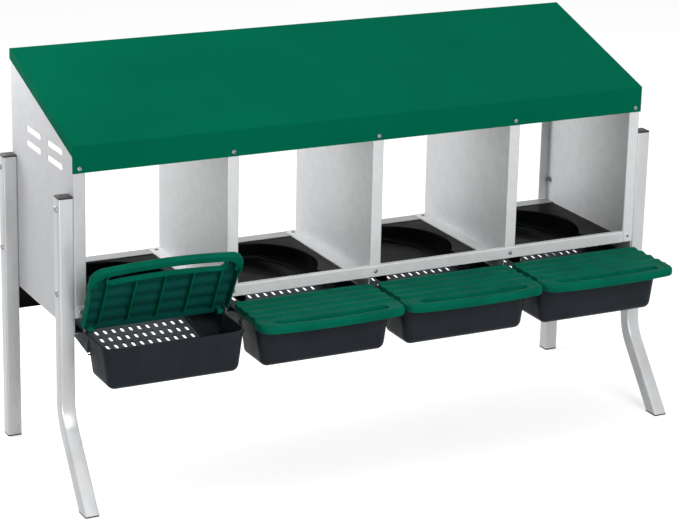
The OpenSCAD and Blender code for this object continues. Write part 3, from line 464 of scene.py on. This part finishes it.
@dataclass
class Legs:
    """Square tube legs with plastic caps and feet."""

    width: float = 0.028
    corner: float = 0.0035
    top: float = 0.568
    cap: float = 0.003
    cap_round: float = 0.0009
    bend_z: float = 0.184
    bend_r: float = 0.1
    kick: float = math.radians(38)
    side_x: float = 0.614
    rear_y: float = 0.318
    bend_steps: int = 28

    def tube(self, bend: bool) -> bmesh.types.BMesh:
        """One leg's tube round x = 0 and y = 0 at its top.

        Args:
            bend: whether its foot kicks forward.

        Returns:
            The tube, closed at both ends and cut level at its foot.
        """
        bm = bmesh.new()
        grid = bmesh.ops.create_grid(bm, x_segments=1, y_segments=1, size=self.width / 2)
        bmesh.ops.bevel(bm, geom=grid["verts"], offset=self.corner, offset_type="OFFSET",
                        segments=4, profile=0.5, affect="VERTICES", clamp_overlap=True,
                        material=-1)
        bmesh.ops.delete(bm, geom=bm.faces[:], context="FACES_ONLY")
        bmesh.ops.translate(bm, vec=(0, 0, self.top - self.cap), verts=bm.verts)
        ends: list = bm.edges[:]
        lower = self.bend_z if bend else self.cap
        ends = self.extrude(bm, ends, Vector((0, 0, lower - self.top + self.cap)))
        if bend:
            spun = bmesh.ops.spin(bm, geom=ends, cent=(0, -self.bend_r, self.bend_z),
                                  axis=(-1, 0, 0), angle=self.kick, steps=self.bend_steps,
                                  use_duplicate=False)
            ends = [e for e in spun["geom_last"] if isinstance(e, bmesh.types.BMEdge)]
            run = self.bend_z / math.cos(self.kick)
            self.extrude(bm, ends, Vector((0, -math.sin(self.kick), -math.cos(self.kick))) * run)
            bmesh.ops.bisect_plane(bm, geom=bm.verts[:] + bm.edges[:] + bm.faces[:],
                                   plane_co=(0, 0, self.cap), plane_no=(0, 0, -1),
                                   clear_outer=True)
        bmesh.ops.holes_fill(bm, edges=[e for e in bm.edges if e.is_boundary], sides=0)
        return bm

    @staticmethod
    def extrude(bm: bmesh.types.BMesh, edges: list, move: Vector) -> list:
        """Draws edges out by a vector and returns the new end's edges."""
        drawn = bmesh.ops.extrude_edge_only(bm, edges=edges)["geom"]
        bmesh.ops.translate(bm, vec=move,
                            verts=[v for v in drawn if isinstance(v, bmesh.types.BMVert)])
        ends = [e for e in drawn if isinstance(e, bmesh.types.BMEdge)]
        moved = {v for v in drawn if isinstance(v, bmesh.types.BMVert)}
        return [e for e in ends if all(v in moved for v in e.verts)]

    def foot_reach(self) -> float:
        """How far in front of the tube's top the bent foot's middle lies, at its level cut."""
        drop = self.bend_z - self.bend_r * math.sin(self.kick) - self.cap
        return self.bend_r * (1 - math.cos(self.kick)) + drop * math.tan(self.kick)

    def build(self) -> None:
        """Builds the four legs, their caps and their feet."""
        half = self.width / 2
        caps, feet = [], []
        for side, hand in ((-1, "left"), (1, "right")):
            for bend, row, y in ((True, "front", half), (False, "rear", self.rear_y)):
                place = Matrix.Translation((side * self.side_x, y + FRONT_Y, 0))
                leg = place_mesh(self.tube(bend), f"leg_{row}_{hand}_tube", place, TUBE,
                                 ROOT)
                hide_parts(f"leg_{row}_{hand}")
                caps.append(self.plate(place, self.top - self.cap, half, half, 0.0))
                reach = self.foot_reach() if bend else 0.0
                length = half / math.cos(self.kick) if bend else half
                feet.append(self.plate(place, 0.0, half, length, -reach))
        for name, parts in (("leg_caps", caps), ("foot_caps", feet)):
            piece = place_mesh(gather(parts), name + "_moulded", Matrix.Identity(4), CAP_BLACK,
                               ROOT)
            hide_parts(name)

    def plate(self, place: Matrix, low: float, half_x: float, half_y: float,
              shift: float) -> bmesh.types.BMesh:
        """A cap or foot: a thin rounded plate at a height, moved along Y by shift."""
        size = Vector((2 * half_x, 2 * half_y, self.cap))
        bm = bmesh.new()
        bmesh.ops.create_cube(bm, size=1.0)
        bmesh.ops.scale(bm, vec=size, verts=bm.verts)
        bmesh.ops.translate(bm, vec=(0, shift, low + self.cap / 2), verts=bm.verts)
        upright = [e for e in bm.edges if abs(e.verts[0].co.z - e.verts[1].co.z) > self.cap / 2]
        round_edges(bm, upright, self.corner, 4)
        ends = [f for f in bm.faces if abs(f.normal.z) > 0.9]
        round_edges(bm, {e for f in ends for e in f.edges}, self.cap_round, 3)
        bm.transform(place)
        return bm


@dataclass
class Lid:
    """Hinged lid of a collecting tray, drawn closed round its hinge axis."""

    length: float = 0.156
    tail: float = 0.009
    rear_half: float = 0.134
    mid_half: float = 0.143
    wavy_half: float = 0.144
    front_half: float = 0.1485
    bow: float = 0.010
    corner: float = 0.026
    sheet: float = 0.0025
    under: float = 0.0075
    wave: float = 0.003
    wave_pitch: float = 0.028
    waves: int = 4
    rim: float = 0.015
    rim_top: float = 0.011
    rim_low: float = -0.004
    rim_round: float = 0.006
    slot_width: float = 0.022
    slot_tip: float = 0.105
    flange: float = 0.0115
    skirt: float = -0.004
    rib_pitch: float = 0.056
    rib: float = 0.003
    barrel: tuple[float, float, float] = (0.1225, 0.010, 0.006)
    hinge: tuple[float, float] = (-0.016, 0.3205)
    open_angles: tuple[float, ...] = (62.0, 0.0, 0.0, 0.0)
    inner_columns: int = 16
    outer_columns: int = 9
    wave_rows: int = 12
    slot_rows: int = 10
    columns: list[float] = field(default_factory=list)

    @property
    def bow_radius(self) -> float:
        """Radius of the bowed front edge."""
        return (self.front_half ** 2 + self.bow ** 2) / (2 * self.bow)

    @property
    def wave_start(self) -> float:
        """Where the waves end at the front."""
        return self.tail - 0.001 - self.waves * self.wave_pitch

    def bow_back(self, x: float) -> float:
        """How far the front edge has fallen back at x."""
        return self.bow_radius - math.sqrt(self.bow_radius ** 2 - x * x)

    def wave_height(self, y: float) -> float:
        """Height of the sheet's lower face at y."""
        if not self.wave_start <= y <= self.tail - 0.001:
            return self.under
        turn = 2 * math.pi * (y - self.wave_start) / self.wave_pitch
        return self.under + self.wave * (1 - math.cos(turn)) / 2

    def half_width(self, y: float, inset: float) -> float:
        """Half the sheet's width at y, where its front corners are set in by inset."""
        step = self.wave_start + 0.0065
        stations = [(self.tail, self.rear_half), (0.0, self.rear_half), (-0.005, self.mid_half),
                    (step, self.wavy_half), (self.wave_start, 0.1474),
                    (self.wave_start - 0.00325, self.front_half), (-0.12, self.front_half)]
        for (y0, w0), (y1, w1) in zip(stations, stations[1:]):
            if y >= y1:
                t = min(1.0, max(0.0, (y0 - y) / (y0 - y1)))
                return w0 + (w1 - w0) * t
        radius = self.corner - inset
        drop = min(radius, max(0.0, -0.123 - y))
        edge = self.front_half - inset * smoothstep((-0.118 - y) / 0.006)
        return edge - radius + math.sqrt(radius * radius - drop * drop)

    def sheet_shape(self) -> bmesh.types.BMesh:
        """The wavy sheet with its handle slot, skirts and slot flange, as a thin surface."""
        front = self.length
        slot0, slot1 = self.rim, self.rim + self.slot_width
        flat = front + self.wave_start
        rows = [self.tail, self.tail - 0.001]
        step = self.wave_pitch / self.wave_rows
        rows += [rows[1] - step * i for i in range(1, self.waves * self.wave_rows + 1)]
        lines = [flat - (flat - slot1) * i / 4 for i in range(1, 5)]
        middle = (slot0 + slot1) / 2
        reach = self.slot_width / 2
        lines += [middle + reach * math.cos(math.pi * i / self.slot_rows)
                  for i in range(1, self.slot_rows + 1)]
        lines += [slot0 - 0.004, slot0 - 0.0075]
        side = self.inner_columns + self.outer_columns
        count_y = len(rows) + len(lines) - 1
        bm = bmesh.new()
        bmesh.ops.create_grid(bm, x_segments=2 * side, y_segments=count_y, size=1.0)
        hole: set[bmesh.types.BMVert] = set()
        kinds: dict[bmesh.types.BMVert, tuple[int, int]] = {}
        for vert in bm.verts:
            column = round(vert.co.x * side)
            row = round((1 - vert.co.y) / 2 * count_y)
            kinds[vert] = (column, row)
            hand = 1 if column >= 0 else -1
            column = abs(column)
            back = row < len(rows)
            depth = 0.0 if back else lines[row - len(rows)]
            y_mid = rows[row] if back else -front + depth
            width = self.half_width(y_mid, 0.007)
            if column <= self.inner_columns:
                x = self.slot_tip * column / self.inner_columns
                in_slot = not back and slot0 - 1e-6 <= depth <= slot1 + 1e-6
                if in_slot and column == self.inner_columns:
                    x += math.sqrt(max(0.0, reach ** 2 - (depth - middle) ** 2))
            else:
                start = self.slot_tip + (reach + 0.001 if not back else 0.0)
                t = (column - self.inner_columns) / self.outer_columns
                start += 0.0 if back else 0.0
                x = start + (width - start) * t
            share = 0.0 if back else min(1.0, (flat - depth) / (flat - slot1))
            y = y_mid + share * self.bow_back(x)
            vert.co = Vector((hand * x, y, self.wave_height(y_mid) + self.sheet))
        for face in bm.faces[:]:
            spots = [kinds[v] for v in face.verts]
            if (all(abs(c) <= self.inner_columns for c, _ in spots)
                    and all(r >= len(rows) + 3 for _, r in spots)
                    and all(r <= len(rows) + 3 + self.slot_rows for _, r in spots)):
                hole.update(face.verts)
                bm.faces.remove(face)
        bmesh.ops.delete(bm, geom=[e for e in bm.edges if not e.link_faces], context="EDGES")
        bmesh.ops.delete(bm, geom=[v for v in bm.verts if not v.link_edges], context="VERTS")
        folds: list[bmesh.types.BMEdge] = []
        slot_edges = [e for e in bm.edges if e.is_boundary
                      and all(v in hole for v in e.verts)]
        side_edges = [e for e in bm.edges if e.is_boundary
                      and all(abs(kinds[v][0]) == side and v.co.y < -0.0055 for v in e.verts)]
        drops = [(slot_edges, lambda v: self.under - self.flange + self.sheet - v.co.z),
                 (side_edges, lambda v: self.skirt - v.co.z)]
        for edges, fall in drops:
            folds += edges
            drawn = bmesh.ops.extrude_edge_only(bm, edges=edges)["geom"]
            for vert in (v for v in drawn if isinstance(v, bmesh.types.BMVert)):
                vert.co.z += fall(vert)
        round_edges(bm, folds, 0.0016, 3)
        return bm

    def rim_shape(self) -> bmesh.types.BMesh:
        """The thick front rim, which runs round both front corners."""
        bm = bmesh.new()
        outer = self.front_half
        inner = self.front_half - self.rim
        end_y = -0.109
        corner = Vector((self.front_half - self.corner, 0, 0))
        reach = self.bow_radius - self.corner
        corner.y = self.bow_radius - self.length - math.sqrt(reach ** 2 - corner.x ** 2)
        lean = math.asin(corner.x / reach)
        spots = [(outer, self.rim_top), (outer, self.rim_low), (inner, self.rim_low),
                 (inner, self.rim_top)]
        verts = [bm.verts.new((x, end_y, z)) for x, z in spots]
        bm.faces.new(verts)
        bmesh.ops.bevel(bm, geom=[verts[0]], offset=self.rim_round, offset_type="OFFSET",
                        segments=6, profile=0.5, affect="VERTICES", clamp_overlap=True,
                        material=-1)
        low = [v for v in bm.verts if v.co.z < self.rim_low + 0.0001
               or v.co.x < inner + 0.0001]
        bmesh.ops.bevel(bm, geom=low, offset=0.0022, offset_type="OFFSET", segments=3,
                        profile=0.5, affect="VERTICES", clamp_overlap=True, material=-1)
        bmesh.ops.delete(bm, geom=bm.faces[:], context="FACES_ONLY")
        ends = Legs.extrude(bm, bm.edges[:], Vector((0, corner.y - end_y, 0)))
        for cent, angle, steps in (
                (corner, math.pi / 2 - lean, 14),
                (Vector((0, self.bow_radius - self.length, 0)), 2 * lean, 36),
                (Vector((-corner.x, corner.y, 0)), math.pi / 2 - lean, 14)):
            spun = bmesh.ops.spin(bm, geom=ends, cent=cent, axis=(0, 0, -1), angle=angle,
                                  steps=steps, use_duplicate=False)
            ends = [e for e in spun["geom_last"] if isinstance(e, bmesh.types.BMEdge)]
        Legs.extrude(bm, ends, Vector((0, end_y - corner.y, 0)))
        caps = bmesh.ops.holes_fill(bm, edges=[e for e in bm.edges if e.is_boundary],
                                    sides=0)["faces"]
        round_edges(bm, {e for f in caps for e in f.edges}, 0.0014, 3)
        return bm

    def rib_shapes(self) -> list[bmesh.types.BMesh]:
        """Five ribs under the sheet, from the hinge to the handle slot."""
        shapes = []
        rear = -self.barrel[2] - 0.001
        for number in range(-2, 3):
            x = number * self.rib_pitch
            ahead = -self.length + self.rim + self.slot_width + self.bow_back(x) + 0.001
            bm = bmesh.new()
            steps = 56
            bmesh.ops.create_grid(bm, x_segments=steps, y_segments=1, size=1.0)
            for vert in bm.verts:
                y = rear + (ahead - rear) * (vert.co.x + 1) / 2
                foot = vert.co.y < 0
                low = self.under - 0.007 + 0.003 * smoothstep((y - rear + 0.012) / 0.012)
                z = low if foot else self.wave_height(y) + self.sheet / 2
                vert.co = Vector((x - self.rib / 2, y, z))
            drawn = bmesh.ops.extrude_face_region(bm, geom=bm.faces[:])["geom"]
            bmesh.ops.translate(bm, vec=(self.rib, 0, 0),
                                verts=[v for v in drawn if isinstance(v, bmesh.types.BMVert)])
            shapes.append(bm)
        return shapes

    def barrel_shapes(self) -> list[bmesh.types.BMesh]:
        """The two hinge barrels and the webs that join them to the sheet."""
        start, width, radius = self.barrel
        shapes = []
        for hand in (-1, 1):
            middle = hand * (start + width / 2)
            bm = bmesh.new()
            bmesh.ops.create_cone(bm, cap_ends=True, segments=40, radius1=radius,
                                  radius2=radius, depth=width)
            bmesh.ops.rotate(bm, cent=(0, 0, 0), matrix=Matrix.Rotation(math.pi / 2, 3, "Y"),
                             verts=bm.verts)
            bmesh.ops.translate(bm, vec=(middle, 0, 0), verts=bm.verts)
            rims = {e for f in bm.faces if len(f.verts) > 4 for e in f.edges}
            round_edges(bm, rims, 0.0006, 2)
            shapes.append(bm)
            shapes.append(rounded_block(
                Vector((middle - width / 2, -radius / 2, 0.001)),
                Vector((middle + width / 2, radius / 2, self.under + self.sheet / 2)), 0.0004, 2))
        return shapes

    def build(self) -> None:
        """Builds the four lids, the first one standing open."""
        for index, angle in enumerate(self.open_angles, start=1):
            body = f"lid_{index}"
            place = (Matrix.Translation((centre_x(index), self.hinge[0] + FRONT_Y,
                                         self.hinge[1]))
                     @ Matrix.Rotation(-math.radians(angle), 4, "X"))
            cover = place_mesh(self.sheet_shape(), body + "_cover", place, LID_GREEN,
                               body, 40.0)
            # The sheet's underside shell takes the darker lid green, which is painted shade.
            cover.data.materials.append(LID_PAINTED_SHADE.material())
            wall = cover.modifiers.new("wall", "SOLIDIFY")
            wall.thickness = self.sheet
            wall.offset = -1.0
            wall.use_even_offset = True
            wall.material_offset = 1
            soft = cover.modifiers.new("soft", "BEVEL")
            soft.width = 0.0005
            soft.segments = 2
            soft.limit_method = "ANGLE"
            soft.angle_limit = math.radians(50)
            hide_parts(f"tray_lid_{index}")
            place_mesh(self.rim_shape(), body + "_rim", place, LID_GREEN, body, 40.0)
            place_mesh(gather(self.rib_shapes() + self.barrel_shapes()), body + "_ribs", place,
                       LID_GREEN, body, 40.0)


@dataclass
class Trays:
    """Collecting trays and their perforated ramps."""

    def build(self) -> None:
        """Dresses the trays and ramps."""
        for index in range(1, COMPARTMENTS + 1):
            refined(f"collecting_tray_{index}", TRAY_BLACK)
            refined(f"tray_ramp_{index}", RAMP_GREY)


@dataclass
class NestPans:
    """Moulded pans with a round bowl."""

    bowl_shift: float = 0.012
    bowl_y: float = 0.172
    bowl_r: float = 0.1215
    top: float = 0.3384
    lip: float = 0.006

    def build(self) -> None:
        """Builds a softened copy of each pan."""
        for index in range(1, COMPARTMENTS + 1):
            centre = Vector((centre_x(index) - self.bowl_shift, self.bowl_y + FRONT_Y, 0))
            refined(f"nest_pan_{index}", PAN_BLACK,
                    soften=lambda bm, c=centre: self.round_lip(bm, c))

    def round_lip(self, bm: bmesh.types.BMesh, centre: Vector) -> None:
        """Rounds the edge where the ledge turns down into the bowl."""
        def on_lip(vert: bmesh.types.BMVert) -> bool:
            flat = Vector((vert.co.x, vert.co.y, 0)) - centre
            return abs(vert.co.z - self.top) < 2e-4 and abs(flat.length - self.bowl_r) < 5e-4
        edges = [e for e in bm.edges if all(on_lip(v) for v in e.verts)]
        if edges:
            round_edges(bm, edges, self.lip, 4)


@dataclass
class Fasteners:
    """Pan head screws, leg bolts, nuts and hinge pins."""

    head_radius: float = 0.0044
    head_height: float = 0.0025
    shank: float = 0.0024
    reach: float = 0.009
    post: float = 0.023
    roof_z: float = 0.6192
    rail_z: float = 0.351
    floor_z: float = 0.3412
    runner_y: tuple[float, float] = (0.030, 0.316)
    bolt_y: tuple[float, float] = (0.014, 0.318)
    bolt_z: tuple[float, float] = (0.545, 0.386)
    bolt_radius: float = 0.006
    bolt_height: float = 0.0035

    def head(self, radius: float, height: float, shank: float, reach: float,
             cross: bool) -> bmesh.types.BMesh:
        """A domed screw along +Z, its head's underside at the origin.

        Args:
            radius: radius of the head.
            height: height of the head.
            shank: radius of the shank.
            reach: length of the shank, towards -Z.
            cross: whether a cross is sunk in the head.

        Returns:
            The screw.
        """
        bm = bmesh.new()
        bmesh.ops.create_uvsphere(bm, u_segments=24, v_segments=12, radius=1.0)
        bmesh.ops.bisect_plane(bm, geom=bm.verts[:] + bm.edges[:] + bm.faces[:],
                               plane_co=(0, 0, 0.0), plane_no=(0, 0, -1), clear_outer=True)
        for vert in bm.verts:
            vert.co.z = vert.co.z ** 0.75 if vert.co.z > 0 else 0.0
        bmesh.ops.scale(bm, vec=(radius, radius, height * 0.85), verts=bm.verts)
        rim = [e for e in bm.edges if e.is_boundary]
        drawn = bmesh.ops.extrude_edge_only(bm, edges=rim)["geom"]
        low = [v for v in drawn if isinstance(v, bmesh.types.BMVert)]
        bmesh.ops.translate(bm, vec=(0, 0, height * 0.15), verts=bm.verts)
        for vert in low:
            vert.co.z = 0.0
        bmesh.ops.holes_fill(bm, edges=[e for e in bm.edges if e.is_boundary], sides=0)
        if cross:
            self.sink_cross(bm, radius, height)
        stem = bmesh.new()
        bmesh.ops.create_cone(stem, cap_ends=True, segments=20, radius1=shank * 0.55,
                              radius2=shank, depth=reach * 0.25)
        bmesh.ops.translate(stem, vec=(0, 0, -reach * 0.875), verts=stem.verts)
        body = bmesh.new()
        bmesh.ops.create_cone(body, cap_ends=True, segments=20, radius1=shank, radius2=shank,
                              depth=reach * 0.75)
        bmesh.ops.translate(body, vec=(0, 0, -reach * 0.375), verts=body.verts)
        return gather([bm, stem, body])

    @staticmethod
    def sink_cross(bm: bmesh.types.BMesh, radius: float, height: float) -> None:
        """Presses a cross into the crown of a screw head."""
        for vert in bm.verts:
            if vert.co.z < height * 0.3:
                continue
            span = vert.co.xy.length / radius
            angle = math.atan2(vert.co.y, vert.co.x)
            arm = abs(math.cos(2 * angle)) > 0.8
            if span < 0.1 or (span < 0.62 and arm):
                vert.co.z -= height * 0.42

    def spread(self, name: str, screw: bmesh.types.BMesh, turn: Matrix,
               places: Iterable[tuple[float, float, float]]) -> None:
        """Puts copies of a screw at several places, as one piece.

        Args:
            name: the CAD node that the piece stands for.
            screw: the screw along +Z, which is freed.
            turn: turns the screw to its own direction.
            places: where the undersides of the heads lie, from the cabinet's front face.
        """
        mesh = bpy.data.meshes.new("screw")
        screw.to_mesh(mesh)
        screw.free()
        whole = bmesh.new()
        for x, y, z in places:
            copy = bmesh.new()
            copy.from_mesh(mesh)
            copy.transform(Matrix.Translation((x, y + FRONT_Y, z)) @ turn)
            placed = bpy.data.meshes.new("placed")
            copy.to_mesh(placed)
            copy.free()
            whole.from_mesh(placed)
            bpy.data.meshes.remove(placed)
        bpy.data.meshes.remove(mesh)
        piece = place_mesh(whole, name + "_turned", Matrix.Identity(4), ZINC,
                           ROOT, 50.0)
        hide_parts(name)

    def build(self) -> None:
        """Builds every screw and bolt, and dresses the nuts and pins."""
        half = PITCH * COMPARTMENTS / 2
        posts = [-half + PITCH * i + self.post / 2 for i in range(COMPARTMENTS)]
        forward = Matrix.Rotation(math.pi / 2, 4, "X")
        up = Matrix.Identity(4)

        def screw() -> bmesh.types.BMesh:
            return self.head(self.head_radius, self.head_height, self.shank, self.reach, True)

        self.spread("roof_screws", screw(), forward,
                    [(x, -0.0012, self.roof_z) for x in posts + [half - self.post / 2]])
        self.spread("rail_screws", screw(), forward, [(x, -0.0012, self.rail_z) for x in posts])
        self.spread("runner_screws", screw(), up,
                    [(-half + PITCH * i - 0.0125, y, self.floor_z)
                     for i in range(1, COMPARTMENTS) for y in self.runner_y])
        bolts = []
        for side in (-1, 1):
            bolt = self.head(self.bolt_radius, self.bolt_height, 0.003, 0.0362, False)
            bolt.transform(Matrix.Rotation(side * math.pi / 2, 4, "Y"))
            mesh = bpy.data.meshes.new("bolt")
            bolt.to_mesh(mesh)
            bolt.free()
            for y in self.bolt_y:
                for z in self.bolt_z:
                    copy = bmesh.new()
                    copy.from_mesh(mesh)
                    copy.transform(Matrix.Translation((side * 0.628, y + FRONT_Y, z)))
                    bolts.append(copy)
            bpy.data.meshes.remove(mesh)
        piece = place_mesh(gather(bolts), "leg_bolts_domed", Matrix.Identity(4), ZINC,
                           ROOT, 50.0)
        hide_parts("leg_bolts")
        dress("leg_nuts", ZINC)
        dress("hinge_pins", ZINC)


@dataclass(frozen=True)
class PhotoCamera:
    """The photograph's viewpoint."""

    position: tuple[float, float, float] = (-1.960, -3.7826, 1.733)
    yaw: float = 27.052
    pitch: float = 16.331
    roll: float = 1.276
    focal_px: float = 2299.4
    rise_px: float = 68.0

    def place(self) -> None:
        """Makes the camera and sets it as the scene's."""
        yaw, pitch, roll = (math.radians(a) for a in (self.yaw, self.pitch, self.roll))
        ahead = Vector((math.sin(yaw) * math.cos(pitch), math.cos(yaw) * math.cos(pitch),
                        -math.sin(pitch)))
        right = Vector((math.cos(yaw), -math.sin(yaw), 0))
        up = right.cross(ahead)
        across = right * math.cos(roll) + up * math.sin(roll)
        upright = up * math.cos(roll) - right * math.sin(roll)
        data = bpy.data.cameras.new("camera")
        data.sensor_fit = "HORIZONTAL"
        data.sensor_width = 36.0
        data.lens = self.focal_px / PHOTO_WIDTH * data.sensor_width
        data.shift_y = -self.rise_px / PHOTO_WIDTH
        data.clip_end = 200.0
        camera = bpy.data.objects.new("camera", data)
        camera.matrix_world = Matrix((
            (across.x, upright.x, -ahead.x, self.position[0]),
            (across.y, upright.y, -ahead.y, self.position[1]),
            (across.z, upright.z, -ahead.z, self.position[2]),
            (0, 0, 0, 1)))
        bpy.context.scene.collection.objects.link(camera)
        bpy.context.scene.camera = camera


@dataclass(frozen=True)
class SoftLamp:
    """A square area lamp that points at a target."""

    name: str
    position: tuple[float, float, float]
    size: float
    power: float
    target: tuple[float, float, float] = (0.0, 0.0, 0.4)
    shine_only: bool = False

    def hang(self) -> None:
        """Makes the lamp."""
        data = bpy.data.lights.new(self.name, "AREA")
        data.shape = "SQUARE"
        data.size = self.size
        data.energy = self.power
        lamp = bpy.data.objects.new(self.name, data)
        lamp.location = self.position
        aim = Vector(self.target) - Vector(self.position)
        lamp.rotation_euler = aim.to_track_quat("-Z", "Y").to_euler()
        lamp.visible_camera = False
        lamp.visible_diffuse = not self.shine_only
        bpy.context.scene.collection.objects.link(lamp)


@dataclass
class Studio:
    """Pale floor, even sky and soft lamps."""

    lamps: tuple[SoftLamp, ...] = (
        SoftLamp("key", (0.2, -5.2, 2.9), 3.0, 195.0),
        SoftLamp("edge", (-2.3, -2.5, 0.3), 0.4, 60.0, (-0.1, -0.1, 0.3), True),
        SoftLamp("side", (-1.15, 0.12, 0.95), 0.35, 1.3, (-0.6, 0.08, 0.6)),
        SoftLamp("rear", (-0.75, 1.0, 1.0), 0.8, 15.0, (0.25, 0.05, 0.5)),
        SoftLamp("top", (0.0, 0.4, 4.6), 3.5, 60.0))
    sky: float = 0.43
    floor_size: float = 60.0

    def build(self) -> None:
        """Makes the floor, the sky and the lamps."""
        bm = bmesh.new()
        bmesh.ops.create_grid(bm, x_segments=1, y_segments=1, size=self.floor_size)
        mesh = bpy.data.meshes.new("floor")
        bm.to_mesh(mesh)
        bm.free()
        mesh.materials.append(self.floor_paint())
        floor = bpy.data.objects.new("floor", mesh)
        floor.location.z = -0.0002
        bpy.context.scene.collection.objects.link(floor)
        self.light_sky()
        for lamp in self.lamps:
            lamp.hang()
        bpy.context.scene.view_settings.view_transform = "Standard"

    @staticmethod
    def seen(tree: bpy.types.NodeTree) -> bpy.types.NodeSocket:
        """One for rays that show the background: camera, glossy and transmission rays."""
        path = tree.nodes.new("ShaderNodeLightPath")
        value = path.outputs["Is Camera Ray"]
        for ray in ("Is Glossy Ray", "Is Transmission Ray"):
            both = tree.nodes.new("ShaderNodeMath")
            both.operation = "MAXIMUM"
            tree.links.new(value, both.inputs[0])
            tree.links.new(path.outputs[ray], both.inputs[1])
            value = both.outputs[0]
        return value

    def floor_paint(self) -> bpy.types.Material:
        """A pale matt floor that is lifted a little where it is seen, and keeps shadows."""
        shader = Shader("floor_paint", (0.6, 0.6, 0.6), 0.0, 0.9)
        shader.set(Specular_IOR_Level=0.0)
        glow = shader.tree.nodes.new("ShaderNodeEmission")
        glow.inputs["Color"].default_value = (1.0, 1.0, 1.0, 1.0)
        lift = shader.tree.nodes.new("ShaderNodeMath")
        lift.operation = "MULTIPLY"
        lift.inputs[1].default_value = 0.62
        shader.tree.links.new(self.seen(shader.tree), lift.inputs[0])
        shader.tree.links.new(lift.outputs[0], glow.inputs["Strength"])
        add = shader.tree.nodes.new("ShaderNodeAddShader")
        shader.tree.links.new(shader.surface.outputs["BSDF"], add.inputs[0])
        shader.tree.links.new(glow.outputs["Emission"], add.inputs[1])
        shader.tree.links.new(add.outputs[0], shader.output.inputs["Surface"])
        return shader.material

    def light_sky(self) -> None:
        """White where it is seen, and softer as a light."""
        world = bpy.data.worlds.new("sky")
        bpy.context.scene.world = world
        world.use_nodes = True
        tree = world.node_tree
        background = tree.nodes["Background"]
        background.inputs["Color"].default_value = (1.0, 1.0, 1.0, 1.0)
        level = tree.nodes.new("ShaderNodeMapRange")
        level.inputs["To Min"].default_value = self.sky
        level.inputs["To Max"].default_value = 1.0
        tree.links.new(self.seen(tree), level.inputs["Value"])
        tree.links.new(level.outputs["Result"], background.inputs["Strength"])


def main() -> None:
    """Builds the camera, the studio and every piece of the nest box in order."""
    logging.basicConfig(level=logging.INFO, format="%(name)s %(message)s")
    PhotoCamera().place()
    Studio().build()
    for part in (Cabinet(), Legs(), NestPans(), Trays(), Lid(), Fasteners()):
        LOG.info("building %s", type(part).__name__)
        part.build()


if __name__ == "__main__":
    main()
